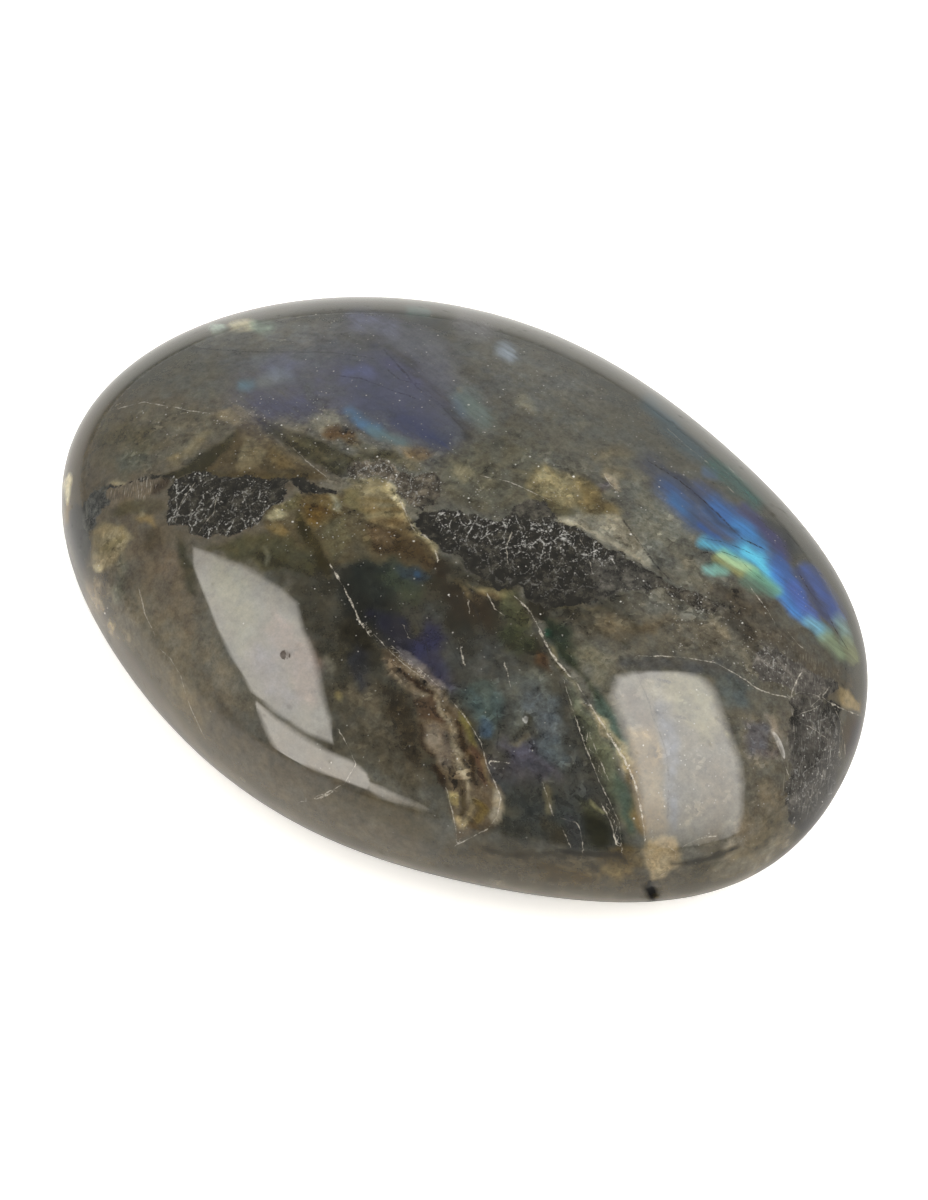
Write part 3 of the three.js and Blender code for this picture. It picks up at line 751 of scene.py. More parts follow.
def skin_points(around, above):
    """Points of the unworn stone from the angle around the girdle and the angle over it."""
    reach = np.ones_like(around)
    for count, cosine, sine in OUTLINE_WAVES:
        reach = reach + cosine * np.cos(count * around) + sine * np.sin(count * around)
    outward = reach * np.clip(np.cos(above), 0, 1) ** (2 / RIM_FULLNESS)
    upward = np.abs(np.sin(above)) ** (2 / RIM_FULLNESS)
    height = np.where(above > 0, CROWN_HEIGHT, -BELLY_DEPTH) * upward
    x = HALF_LENGTH * outward * np.cos(around)
    y = HALF_WIDTH * outward * np.sin(around)
    return np.stack([x, y, BELLY_DEPTH - BELLY_WEAR + height], -1)


def ring_heights(rings, depth, samples=2000):
    """Angles above the girdle for rings that lie evenly along the skin, from the pole outward."""
    above = np.linspace(math.pi / 2, 0, samples)
    outward = (HALF_LENGTH + HALF_WIDTH) / 2 * np.cos(above).clip(0) ** (2 / RIM_FULLNESS)
    height = depth * np.sin(above) ** (2 / RIM_FULLNESS)
    steps = np.hypot(np.diff(outward), np.diff(height))
    length = np.concatenate([[0], np.cumsum(steps)])
    return np.interp(np.arange(rings + 1) / rings, length / length[-1], above)


def join_rings(inner, outer, upward):
    """Triangles between two rings, each given as its first point and how many points it has."""
    faces = []
    i = j = 0
    (a, count_a), (b, count_b) = inner, outer
    while i < count_a or j < count_b:
        on_outer = i >= count_a or (j < count_b and (j + 0.5) * count_a < (i + 0.5) * count_b)
        if on_outer:
            face = (a + i % count_a, b + j % count_b, b + (j + 1) % count_b)
            j += 1
        else:
            face = (a + i % count_a, b + j % count_b, a + (i + 1) % count_a)
            i += 1
        if face[0] != face[2]:
            faces.append(face if upward else face[::-1])
    return faces


def build_skin():
    """The angles of the stone's points, and its triangles. Both sides share the ring at the girdle."""
    around_parts = []
    above_parts = []
    faces = []
    sides = []
    first = 0
    for count, depth, sign in ((TOP_RINGS, CROWN_HEIGHT, 1), (BELLY_RINGS, BELLY_DEPTH, -1)):
        heights = ring_heights(count, depth)
        side = []
        for k in range(count + 1 if sign > 0 else count):
            number = max(1, POINTS_PER_RING * k)
            around_parts.append(np.arange(number) / number * 2 * math.pi)
            above_parts.append(np.full(number, sign * heights[k]))
            side.append((first, number))
            first += number
        sides.append(side)
    top, belly = sides
    for inner, outer in zip(top, top[1:]):
        faces += join_rings(inner, outer, True)
    for inner, outer in zip(belly, belly[1:] + [top[-1]]):
        faces += join_rings(inner, outer, False)
    return np.concatenate(around_parts), np.concatenate(above_parts), np.array(faces)


def slopes(around, above, step=0.01):
    """A place of the skin, with its level and outward directions there."""
    place, level, uphill = skin_points(
        np.array([around, around + step, around]), np.array([above, above, above + step])
    )
    level = (level - place) / np.linalg.norm(level - place)
    uphill = (uphill - place) / np.linalg.norm(uphill - place)
    outward = np.cross(level, uphill)
    outward /= np.linalg.norm(outward)
    return place, level, outward


def press_pits(points):
    """Sinks each small pit into the skin, and says how far in a pit each point is, from 0 to 1."""
    in_pit = np.zeros(len(points))
    for around, above, length, width, depth, turn in PITS:
        place, level, outward = slopes(math.radians(around), math.radians(above))
        turned = Matrix.Rotation(math.radians(turn), 3, Vector(outward)) @ Vector(level)
        along = np.array(turned)
        across = np.cross(outward, along)
        away = points - place
        reach = np.hypot(away @ along / (length / 2), away @ across / (width / 2))
        close = (reach < 1) & (np.abs(away @ outward) < PIT_REACH)
        sunk = np.where(close, (1 - reach**2).clip(0), 0)
        points -= np.outer(depth * sunk, outward)
        in_pit = np.maximum(in_pit, sunk)
    return in_pit


around, above, faces = build_skin()
skin = skin_points(around, above)
box_low, box_high = (np.array(corner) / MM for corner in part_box("stone"))
middle = (box_low + box_high) / 2 - (skin.min(0) + skin.max(0)) / 2
worn = (skin[:, 2] + np.sqrt(skin[:, 2] ** 2 + EDGE_SOFTNESS**2)) / 2
skin[:, 2] = np.where(above < 0, worn - worn.min(), skin[:, 2])
in_pit = press_pits(skin)
skin[:, :2] += middle[:2]

# Camera

back = np.array(
    [
        math.sin(VIEW_AZIMUTH) * math.cos(VIEW_ELEVATION),
        -math.cos(VIEW_AZIMUTH) * math.cos(VIEW_ELEVATION),
        math.sin(VIEW_ELEVATION),
    ]
)
right = np.array([math.cos(VIEW_AZIMUTH), math.sin(VIEW_AZIMUTH), 0])
upright = np.cross(back, right)
eye = np.array([0, 0, (CROWN_HEIGHT + BELLY_DEPTH) / 2])
eye = eye + back * VIEW_DISTANCE + right * AIM_RIGHT + upright * AIM_UP
FOCAL = LENS / SENSOR * PICTURE_HEIGHT

# Directions in which the light changes: level and away from the eye, level and away to the left,
# and towards the brightest part of the backdrop
BEYOND = np.append(-back[:2], 0) / np.hypot(*back[:2])
BACK_LEFT = (BEYOND - right) / math.sqrt(2)
TO_BACKDROP = Vector((-back[0], -back[1], BACKDROP_DROP)).normalized()


def to_picture(points):
    """Where points show in the photograph, in its pixels."""
    away = points - eye
    depth = -(away @ back)
    across = PICTURE_WIDTH / 2 + FOCAL * (away @ right) / depth
    down = PICTURE_HEIGHT / 2 - FOCAL * (away @ upright) / depth
    return np.stack([across, down], -1)


def ray_through(pixel):
    """The direction from the eye through a pixel of the photograph."""
    across = (pixel[0] - PICTURE_WIDTH / 2) / FOCAL
    down = (pixel[1] - PICTURE_HEIGHT / 2) / FOCAL
    ray = -back + across * right - down * upright
    return Vector(ray).normalized()


skin_tree = BVHTree.FromPolygons(skin.tolist(), faces.tolist())


def on_skin(pixel):
    """The point and outward direction of the skin that a pixel of the photograph shows."""
    place, outward, _, _ = skin_tree.ray_cast(Vector(eye), ray_through(pixel))
    return place, outward


def mirrored(pixel):
    """The point of the skin at a pixel, and the direction that it mirrors there."""
    place, outward = on_skin(pixel)
    ray = ray_through(pixel)
    return place, ray - 2 * ray.dot(outward) * outward

# Paint: what each point of the skin looks like

FIRST_TONE = (100, 99, 91)
HIDDEN_FROM = (0.02, -0.6)  # cosines to the eye, from where the skin turns away to where it is all hidden
DRIFT = np.array([70.0, -45.0])  # how far the markings slant on their way through the stone, in pixels
UNEVEN_DRIFT = 30  # and how unevenly
GLOSS_IOR = 1.56
MOST_HAZE = 0.075  # past this the rim is left to shine
BRIGHTNESS_ROWS = (300, 800)  # between these rows of the photograph, the light that falls on the skin
BRIGHTNESS = (1.52, 2.33)  # grows from the first to the second of these
PIXELS_TO_MM = 11.0  # pixels of the photograph in a millimetre of the stone, near enough
COLOUR_RANGE = (0.002, 0.9)
FAR_AWAY = 1e6  # pixels

# Edges of marks, as shares of their softness: where they begin and are full, and how far noise moves them
MARK_EDGE = (-0.8, 0.8)
FLASH_EDGE = (-0.75, 0.6)
RAGGEDNESS = 0.4
# How much a mark covers where it is full, and how much more or less its patches cover
FULL_COVER = 0.86
PATCHINESS = 0.24
# How a line thins: its width's share at the middle, and where that share is 0 and 1 on the way there
TAPER_WIDTH = 1.15
TAPER = (-0.35, 0.6)
FLASH_WOBBLE = 3  # pixels
SCATTER_WOBBLE = 6
VEIN_WOBBLE = 4
VEIN_TONE_SOFTNESS = 16
MOST_VEIN_DEPTH = 4  # millimetres

corners = skin[faces]
face_slopes = np.cross(corners[:, 1] - corners[:, 0], corners[:, 2] - corners[:, 0])
outward = np.zeros_like(skin)
for corner in range(3):
    np.add.at(outward, faces[:, corner], face_slopes)
outward /= np.linalg.norm(outward, axis=1)[:, None]

sight = eye - skin
sight /= np.linalg.norm(sight, axis=1)[:, None]
facing = (outward * sight).sum(1)
hidden = smooth(facing, *HIDDEN_FROM)
broad = np.stack([value_noise(skin, 5.0, seed, 2) for seed in (1, 2)], -1)
tight = np.stack([value_noise(skin, 1.4, seed, 2) for seed in (3, 4)], -1)
ripple = broad * 0.5 + tight * 0.75
ragged = value_noise(skin, 0.9, 5, 2)
patchy = value_noise(skin, 1.8, 9, 3)
seen_at = to_picture(skin)
places = seen_at + hidden[:, None] * (DRIFT + UNEVEN_DRIFT * broad)

# What the polish adds to the light that comes from the stone itself
mirrored_ray = 2 * facing[:, None] * outward - sight
sky = DIM_ROOM + (BRIGHT_BACKDROP - DIM_ROOM) * smooth(mirrored_ray @ TO_BACKDROP, *BACKDROP_EDGE)
landing = skin[:, :2] + mirrored_ray[:, :2] * (skin[:, 2] / (-mirrored_ray[:, 2]).clip(0.001))[:, None]
near_share = smooth(landing @ BEYOND[:2], *NEAR_FLOOR)
left_share = smooth(landing @ BACK_LEFT[:2], *ACROSS_FLOOR)
floor_light = MIRRORED_FLOOR_ALBEDO * (DISTANT_SHARE + (1 - DISTANT_SHARE) * near_share)
floor_light *= RIGHT_SHARE + (LEFT_SHARE - RIGHT_SHARE) * left_share
floor_light *= 1 - (1 - FAR_LEFT_SHARE) * smooth(-landing @ right[:2], *LEFT_FLOOR)
floor_light *= 1 - (1 - HORIZON_SHARE) * smooth(landing @ BEYOND[:2], *FAR_FLOOR)
mirrored_light = np.where(mirrored_ray[:, 2] > 0, sky, floor_light)
straight_on = ((GLOSS_IOR - 1) / (GLOSS_IOR + 1)) ** 2
mirroring = straight_on + (1 - straight_on) * (1 - facing.clip(0, 1)) ** 5
haze = np.where(facing > 0, (mirroring * mirrored_light).clip(0, MOST_HAZE), straight_on * DIM_ROOM)
brightness = np.interp(seen_at[:, 1], BRIGHTNESS_ROWS, BRIGHTNESS)


def colour_of(tone):
    """The stone's own colour, from the tone that shows. The first step undoes the screen's sRGB curve."""
    share = np.asarray(tone, float) / 255
    light = np.where(share < 0.04045, share / 12.92, ((share + 0.055) / 1.055) ** 2.4)
    return ((light - haze[:, None]) / brightness[:, None]).clip(*COLOUR_RANGE)


def nearest_on(points, route, closed):
    """How far points of the picture are from a route, and how far along it their nearest point is."""
    ends = route[1:] + route[:1] if closed else route[1:]
    distance = np.full(len(points), FAR_AWAY)
    along = np.zeros(len(points))
    travelled = 0.0
    for start, end in zip(route, ends):
        run = np.subtract(end, start)
        length = np.hypot(*run)
        away = points - start
        share = (away @ run / length**2).clip(0, 1)
        away -= share[:, None] * run
        reach = np.hypot(away[:, 0], away[:, 1])
        along = np.where(reach < distance, travelled + share * length, along)
        distance = np.minimum(distance, reach)
        travelled += length
    return distance, along / travelled


def is_inside(points, outline):
    """Whether points of the picture are inside an outline."""
    inside = np.zeros(len(points), bool)
    for (x0, y0), (x1, y1) in zip(outline, outline[1:] + outline[:1]):
        if y0 != y1:
            between = (points[:, 1] > min(y0, y1)) & (points[:, 1] <= max(y0, y1))
            across = x0 + (points[:, 1] - y0) * (x1 - x0) / (y1 - y0)
            inside ^= between & (points[:, 0] < across)
    return inside


def depth_inside(points, outline):
    """How deep points of the picture are inside an outline; less than 0 outside it."""
    distance, _ = nearest_on(points, outline, True)
    return np.where(is_inside(points, outline), distance, -distance)


def depth_in_mark(route, width, softness, wobble, thins=True):
    """Which points are near a mark, and how deep inside it they are. A line may thin at its ends."""
    moved = wobble * ripple
    margin = width / 2 + 2 * softness + np.abs(moved).max()
    low = np.min(route, 0) - margin
    high = np.max(route, 0) + margin
    near = np.all((places > low) & (places < high), 1)
    points = places[near] + moved[near]
    if not width:
        return near, depth_inside(points, route)
    distance, along = nearest_on(points, route, False)
    taper = TAPER_WIDTH * smooth(1 - np.abs(2 * along - 1), *TAPER) if thins else 1
    return near, width / 2 * taper - distance


def cover(route, width, softness, wobble):
    """How much a mark covers each point of the skin, from 0 to 1, with uneven soft edges."""
    near, depth = depth_in_mark(route, width, softness, wobble)
    depth = depth + RAGGEDNESS * softness * ragged[near]
    low, high = MARK_EDGE
    share = np.zeros(len(skin))
    share[near] = smooth(depth, low * softness, high * softness)
    share[near] *= (FULL_COVER + PATCHINESS * patchy[near]).clip(0, 1)
    return share


def glow(route, width, softness):
    """How much a flash covers each point of the skin, from 0 to 1, with smooth edges."""
    near, depth = depth_in_mark(route, width, softness, FLASH_WOBBLE, False)
    low, high = FLASH_EDGE
    share = np.zeros(len(skin))
    share[near] = smooth(depth, low * softness, high * softness)
    return share


def density(rows):
    """How dense a scatter is over the skin, from its list of marks."""
    total = np.zeros(len(skin))
    for strength, width, softness, route in rows:
        total = np.maximum(total, strength * cover(route, width, softness, SCATTER_WOBBLE))
    return total


tone = np.tile(np.array(FIRST_TONE, float), (len(skin), 1))
for _, colour, strength, width, softness, wobble, route in CLOUDS + PATCHES:
    share = strength * cover(route, width, softness, wobble)
    tone += share[:, None] * (colour - tone)

for _, colour, strength, size, seed, low, high in HIDDEN_CLOUDS:
    share = strength * hidden * smooth(value_noise(skin + 2 * broad[:, :1], size, seed), low, high)
    tone += share[:, None] * (colour - tone)

flash_tone = np.zeros((len(skin), 3))
flash_share = np.zeros(len(skin))
for _, colour, strength, width, softness, route in FLASHES:
    share = strength * glow(route, width, softness)
    lit = share + flash_share * (1 - share)
    mixed = share[:, None] * colour + (flash_share * (1 - share))[:, None] * flash_tone
    flash_tone = np.where(lit[:, None] > 1e-4, mixed / lit.clip(1e-4)[:, None], colour)
    flash_share = lit

vein_depth = np.max([depth_inside(places + VEIN_WOBBLE * tight, outline) for outline in VEIN], 0)
vein_depth = (vein_depth / PIXELS_TO_MM).clip(-MOST_VEIN_DEPTH, MOST_VEIN_DEPTH)
vein_tone = np.tile(np.array(VEIN_TONE, float), (len(skin), 1))
for _, colour, width, route in VEIN_TONES:
    share = cover(route, width, VEIN_TONE_SOFTNESS, SCATTER_WOBBLE)
    vein_tone += share[:, None] * (colour - vein_tone)

# How unpolished the skin is: in the nicks, and in grains of the pits
grit = value_noise(skin, 0.45, 11, 2)
dull = np.maximum(0.75 * smooth(in_pit + 0.5 * grit, 0.35, 0.8), density(NICKS))

# Lines

ROUTE_STEP = 6  # pixels between the points of a route that is laid on the skin
LONGEST_PIECE = 3  # a longer piece of a line, in millimetres, would cut through the stone
LINE_REACH = 1.2  # how far from a line its distance is still worked out, in millimetres


def laid_on_skin(route, far):
    """The points where a route of the picture lies on the skin, on its near or its far side."""
    laid = []
    for start, end in zip(route, route[1:]):
        count = max(1, round(math.dist(start, end) / ROUTE_STEP))
        for k in range(count + (end == route[-1])):
            pixel = np.array(start) + (np.array(end) - start) * k / count
            if far:
                ray = ray_through(pixel - DRIFT)
                place, slope, _, _ = skin_tree.ray_cast(Vector(eye) + ray * 2 * VIEW_DISTANCE, -ray)
            else:
                place, slope = on_skin(pixel)
            if place is not None:
                laid.append((np.array(place), np.array(slope)))
    return laid


def lines_on_skin(lines):
    """For each point of the skin: the side and distance of the nearest line, how far it is, its width
    and its strength."""
    field = np.tile(np.array([LINE_REACH, LINE_REACH, 0.1, 0.0]), (len(skin), 1))
    for width, strength, route in lines:
        for far in (False, True):
            laid = laid_on_skin(route, far)
            for (start, slope), (end, _) in zip(laid, laid[1:]):
                run = end - start
                length = np.linalg.norm(run)
                if length < 1e-6 or length > LONGEST_PIECE:
                    continue
                reach = LINE_REACH + length
                near = np.nonzero(np.all(np.abs(skin - start) < reach, 1))[0]
                away = skin[near] - start
                share = (away @ run / length**2).clip(0, 1)
                distance = np.linalg.norm(away - share[:, None] * run, axis=1)
                closer = distance < field[near, 1]
                side = np.where(away @ np.cross(slope, run) > 0, 1, -1)
                chosen = near[closer]
                field[chosen, 0] = (side * distance)[closer]
                field[chosen, 1] = distance[closer]
                field[chosen, 2] = width
                field[chosen, 3] = strength
    return field

# Nodes

tree = None  # the node tree that new nodes go into


def node(kind, inputs=None, **settings):
    """A new node, with its settings, its numbers and what is linked to it."""
    made = tree.nodes.new("ShaderNode" + kind)
    for name, value in settings.items():
        setattr(made, name, value)
    for key, value in (inputs or {}).items():
        if isinstance(value, bpy.types.NodeSocket):
            tree.links.new(value, made.inputs[key])
        else:
            made.inputs[key].default_value = value
    return made


def start_nodes(owner):
    """Empties the nodes of a material or world, and has new nodes go there."""
    global tree
    owner.use_nodes = True
    tree = owner.node_tree
    tree.nodes.clear()


def calc(operation, first, second=0.0, third=0.0):
    made = node("Math", {0: first, 1: second, 2: third}, operation=operation)
    return made.outputs[0]


def times(first, *others):
    for other in others:
        first = calc("MULTIPLY", first, other)
    return first


def plus(first, *others):
    for other in others:
        first = calc("ADD", first, other)
    return first


def step(value, low, high, to_low=0.0, to_high=1.0):
    """A soft step from to_low where value is low to to_high where it is high."""
    inputs = {"Value": value, "From Min": low, "From Max": high, "To Min": to_low, "To Max": to_high}
    return node("MapRange", inputs, interpolation_type="SMOOTHSTEP").outputs[0]


def swing(value, amount):
    """A value from 0 to 1 as a change of brightness, up and down by the amount."""
    return times(calc("MULTIPLY_ADD", value, 2.0, -1.0), amount)


def blend(share, first, second, mode="MIX"):
    """One colour with a share of another laid over it."""
    inputs = {"Factor": share, 6: first, 7: second}
    return node("Mix", inputs, data_type="RGBA", blend_type=mode).outputs[2]


def tinted(colour, tint):
    return blend(1.0, colour, tint, "MULTIPLY")


def shaded(colour, shade):
    """A colour made paler or darker by a number."""
    grey = node("CombineColor", {0: shade, 1: shade, 2: shade}).outputs[0]
    return tinted(colour, grey)


def channels(colour):
    return node("SeparateColor", {0: colour}).outputs


def stored(name):
    return node("Attribute", attribute_name=name)


def amount_of(name):
    return stored(name).outputs["Fac"]


def dot(places, direction):
    inputs = {0: places, 1: tuple(direction)}
    return node("VectorMath", inputs, operation="DOT_PRODUCT").outputs["Value"]


def turned(places, direction, size):
    """Places seen along the picture's line of sight, turned and scaled, for patterns with a grain."""
    angle = math.radians(direction)
    along = right * math.cos(angle) + upright * math.sin(angle)
    across = upright * math.cos(angle) - right * math.sin(angle)
    parts = [dot(places, axis / length) for axis, length in zip((along, across, back), size)]
    return node("CombineXYZ", dict(enumerate(parts))).outputs[0]


def noise(places, size=1.0, detail=2.0, roughness=0.5):
    inputs = {"Vector": places, "Scale": 1 / size, "Detail": detail, "Roughness": roughness}
    return node("TexNoise", inputs).outputs["Fac"]


def cells(places, size=1.0, feature="F1"):
    return node("TexVoronoi", {"Vector": places, "Scale": 1 / size}, feature=feature)


def from_wall(places):
    """How far places are from the nearest wall between cells."""
    return cells(places, 1.0, "DISTANCE_TO_EDGE").outputs["Distance"]


def shaken(places, size, amount, detail=1.0):
    """Places moved about by a noise, so that a regular pattern looks grown."""
    inputs = {"Vector": places, "Scale": 1 / size, "Detail": detail}
    moved = node("TexNoise", inputs).outputs["Color"]
    centred = node("VectorMath", {0: moved, 1: (0.5, 0.5, 0.5)}, operation="SUBTRACT").outputs[0]
    scaled = node("VectorMath", {0: centred, 3: amount}, operation="SCALE").outputs[0]
    return node("VectorMath", {0: places, 1: scaled}, operation="ADD").outputs[0]


# Mesh

mesh = bpy.data.meshes.new("polished_stone")
mesh.from_pydata((skin * MM).tolist(), [], faces.tolist())
mesh.polygons.foreach_set("use_smooth", np.ones(len(faces), bool))
mesh.update()
stone = bpy.data.objects.new("polished_stone", mesh)
bpy.context.scene.collection.objects.link(stone)
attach(stone, "root")
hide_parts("stone")


def store(name, values):
    """Keeps values at the mesh's points: one number for each, or four."""
    values = np.asarray(values, np.float32)
    if values.ndim == 1:
        mesh.attributes.new(name, "FLOAT", "POINT").data.foreach_set("value", values)
    else:
        mesh.attributes.new(name, "FLOAT_COLOR", "POINT").data.foreach_set("color", values.ravel())


def with_share(tones, share):
    """The colours of tones, with a share or depth as a fourth number."""
    return np.concatenate([colour_of(tones), np.broadcast_to(share, len(tones))[:, None]], 1)


store("ground", with_share(tone, 1))
store("flash", with_share(flash_tone, flash_share))
store("vein", with_share(vein_tone, vein_depth))
store("crackle", density(CRACKLE))
store("glitter", density(GLITTER))
store("hatch", density(HATCH))
store("unrest", density(UNREST))
store("bands", density(BANDS))
store("dull", dull)
store("crack", lines_on_skin(CRACKS))
store("seam", lines_on_skin(SEAMS))

# Material. Sizes are in millimetres, and directions in degrees in the picture.

WARM = (1.03, 1.0, 0.94, 1)
COOL = (0.96, 1.0, 1.05, 1)
DARK_FOG = (0.6, 0.6, 0.6, 1)
LIGHT_FOG = (2.2, 2.15, 2.06, 1)
SILVER = (0.27, 0.27, 0.26, 1)
DARK_SCRATCH = (0.03, 0.028, 0.024, 1)
PALE_SCRATCH = (0.3, 0.29, 0.26, 1)
SEAM_BLACK = (0.012, 0.012, 0.012, 1)
CRACK_WHITE = (0.32, 0.3, 0.26, 1)
PIT_BLACK = (0.008, 0.008, 0.008, 1)
GLITTER_SIZES = (  # distance between points, their radius as a share of it, how bright
    (0.24, 0.34, 0.2),
    (0.42, 0.24, 0.34),
    (0.8, 0.15, 0.48),
    (1.9, 0.08, 0.6),
)
CLEAVAGE = -38  # the direction of the crystals and of the fine layers that give the play of colour

material = bpy.data.materials.new("labradorite")
material.use_nodes = True
mesh.materials.append(material)
tree = material.node_tree
shader = tree.nodes["Principled BSDF"]

metres = node("TexCoord").outputs["Object"]
place = node("VectorMath", {0: metres, 3: 1 / MM}, operation="SCALE").outputs[0]

# The ground: cloudy, warmer here and cooler there, and broken into small crystals where it is unrestful
ground = stored("ground").outputs["Color"]
unrest = amount_of("unrest")
swirled = shaken(place, 2.5, 1.2, 2.0)
ground = blend(step(noise(swirled, 1.5, 4.0, 0.6), 0.36, 0.62), tinted(ground, COOL), tinted(ground, WARM))

crystal_places = shaken(place, 0.9, 0.5, 2.0)
crystals = turned(crystal_places, CLEAVAGE, (1.5, 0.6, 1.0))
crumbs = cells(turned(crystal_places, 20, (0.5, 0.34, 0.4))).outputs["Color"]
cloud = swing(noise(swirled, 1.8, 4.0, 0.6), calc("MULTIPLY_ADD", unrest, 0.6, 0.46))
grain = swing(noise(place, 0.17, 2.0, 0.6), 0.35)
mottle = swing(noise(place, 0.55, 2.0, 0.55), calc("MULTIPLY_ADD", unrest, 0.12, 0.46))
shards = swing(cells(crystals).outputs["Color"], times(unrest, 0.23))
crumb = swing(crumbs, times(unrest, 0.24))
clumps = step(noise(crystal_places, 1.6, 3.0, 0.6), 0.52, 0.66)
pale_crumb = times(step(channels(crumbs)[1], 0.6, 0.8), clumps, times(unrest, 0.75))
crevice_depth = times(calc("MAXIMUM", calc("SUBTRACT", unrest, 1.2), 0.0), -0.7)
crevices = times(step(noise(crystal_places, 0.8, 3.0, 0.6), 0.46, 0.38), crevice_depth)
broken_edges = times(step(from_wall(crystals), 0.09, 0.0), step(noise(place, 0.6, 3.0, 0.6), 0.5, 0.7))
pale_edges = times(broken_edges, times(unrest, 0.55))
bands = noise(turned(shaken(place, 4.0, 0.8), -6, (9.0, 0.45, 4.0)), 1.0, 3.0, 0.6)
level_share = amount_of("bands")
banding = swing(step(bands, 0.35, 0.65), times(level_share, 0.08))
ground_shade = plus(1.0, cloud, grain, mottle, shards, crumb, pale_crumb, crevices, pale_edges, banding)
ground = shaded(ground, ground_shade)

# The play of colour, a sheen painted into the colour, its brightness drawn out along fine layers, and level
# ones where the bands are
flash = stored("flash").outputs
layers = noise(turned(shaken(place, 3.0, 0.4), CLEAVAGE, (5.0, 0.24, 2.0)), 1.0, 4.0, 0.65)
level_layers = noise(turned(shaken(place, 1.6, 1.2, 2.0), -12, (3.2, 0.7, 2.0)), 1.0, 4.0, 0.65)
layers = calc("MULTIPLY_ADD", calc("SUBTRACT", level_layers, layers), level_share, layers)
patches = swing(noise(swirled, 1.5, 4.0, 0.6), calc("MULTIPLY_ADD", level_share, 0.7, 0.2))
changes = plus(swing(layers, 0.35), patches)
streaked = calc("MULTIPLY_ADD", changes, step(flash["Alpha"], 0.0, 0.4), flash["Alpha"])
glow_share = calc("MINIMUM", calc("MAXIMUM", streaked, 0.0), 0.97)
lively = plus(plus(calc("SUBTRACT", layers, 0.5), 1.14), times(grain, 0.5))
lively = calc("MULTIPLY_ADD", times(patches, level_share), 0.75, lively)
ground = blend(glow_share, ground, shaded(flash["Color"], lively))

# The dark vein, with ragged edges and a grey fog in it
vein = stored("vein").outputs
raggedness = swing(noise(place, 0.7, 4.0, 0.7), 0.7)
beyond_edge = plus(vein["Alpha"], raggedness)
vein_share = step(beyond_edge, -0.12, 0.12)
hatch = amount_of("hatch")
fog = step(noise(shaken(place, 1.2, 0.8, 2.0), 1.1, 5.0, 0.75), 0.4, 0.76)
fog = calc("MULTIPLY_ADD", calc("SUBTRACT", 0.28, fog), times(hatch, 0.7), fog)
fogged = blend(fog, tinted(vein["Color"], DARK_FOG), tinted(vein["Color"], LIGHT_FOG))
fogged = shaded(fogged, plus(1.0, times(plus(grain, mottle), 1.3)))
colour = blend(vein_share, ground, fogged)

# Crackle: silvery walls of flattened cells inside the vein, broken into dots
crackle = times(amount_of("crackle"), vein_share)
from_large_wall = from_wall(turned(shaken(place, 1.1, 0.6, 2.0), 72, (1.9, 1.0, 1.8)))
from_small_wall = from_wall(turned(shaken(place, 0.6, 0.5, 2.0), 60, (0.8, 0.5, 0.9)))
gaps = noise(place, 0.6, 3.0, 0.7)
dots = noise(place, 0.19, 1.0, 0.5)
large_walls = times(step(from_large_wall, 0.065, 0.0), step(gaps, 0.34, 0.56))
small_walls = times(step(from_small_wall, 0.14, 0.0), step(gaps, 0.48, 0.66, 0.0, 0.7))
walls = times(calc("MAXIMUM", large_walls, small_walls), step(dots, 0.44, 0.58, 0.06, 1.1), crackle)
colour = blend(walls, colour, SILVER)

# Scratches: fine parallel dark and pale lines
scratches = noise(turned(place, 84, (1.6, 0.12, 0.5)), 1.0, 2.0, 0.6)
colour = blend(times(step(scratches, 0.5, 0.4), times(hatch, 0.6)), colour, DARK_SCRATCH)
colour = blend(times(step(scratches, 0.56, 0.7), times(hatch, 0.4)), colour, PALE_SCRATCH)

# Glitter: painted glints, bright points of several sizes, most of them along the vein's walls and edges
glitter = amount_of("glitter")
wall_glints = times(step(from_large_wall, 0.25, 0.02), crackle)
edge_glints = times(step(calc("ABSOLUTE", beyond_edge), 0.3, 0.0), glitter)
glint_density = plus(glitter, times(calc("MAXIMUM", wall_glints, edge_glints), 0.7))
often = times(calc("POWER", glint_density, 1.6), 0.5)
jagged = shaken(place, 0.12, 0.1)
for size, radius, bright in GLITTER_SIZES:
    spots = cells(jagged, size).outputs
    lot = channels(spots["Color"])
    present = step(calc("SUBTRACT", lot[0], often), 0.01, -0.01)
    spot = times(step(spots["Distance"], radius, 0.0), present, step(lot[1], 0.0, 1.0, 0.25, 1.1))
    colour = blend(spot, colour, (bright, bright * 0.98, bright * 0.92, 1))


def line(name, wander, size, low, high):
    """How much the lines of a name cover. They wander, and their width and strength vary between two
    shares."""
    field = stored(name).outputs
    aside, away, width = channels(field["Color"])
    shift = times(calc("SUBTRACT", noise(place, size, 2.0), 0.5), wander)
    distance = calc("ABSOLUTE", plus(aside, shift))
    change = step(noise(place, 1.1, 4.0, 0.75), 0.32, 0.66, low, high)
    core = calc("DIVIDE", distance, times(width, change))
    beads = step(noise(place, 0.24, 2.0, 0.6), 0.38, 0.56, 0.35, 1.1)
    strength = times(field["Alpha"], change, beads)
    drawn = times(times(step(core, 1.0, 0.3), step(away, 0.34, 0.22)), strength)
    return calc("MINIMUM", drawn, 1.0)


# Hairline seams and white cleavage cracks
colour = blend(line("seam", 0.2, 0.9, 0.3, 1.1), colour, SEAM_BLACK)
colour = blend(line("crack", 0.2, 0.6, 0.0, 1.05), colour, CRACK_WHITE)

# Dark micro pits, scattered sparsely
pits = cells(place, 1.7).outputs
pit = times(step(pits["Distance"], 0.05, 0.03), step(channels(pits["Color"])[1], 0.93, 0.95))
colour = blend(times(pit, 0.85), colour, PIT_BLACK)

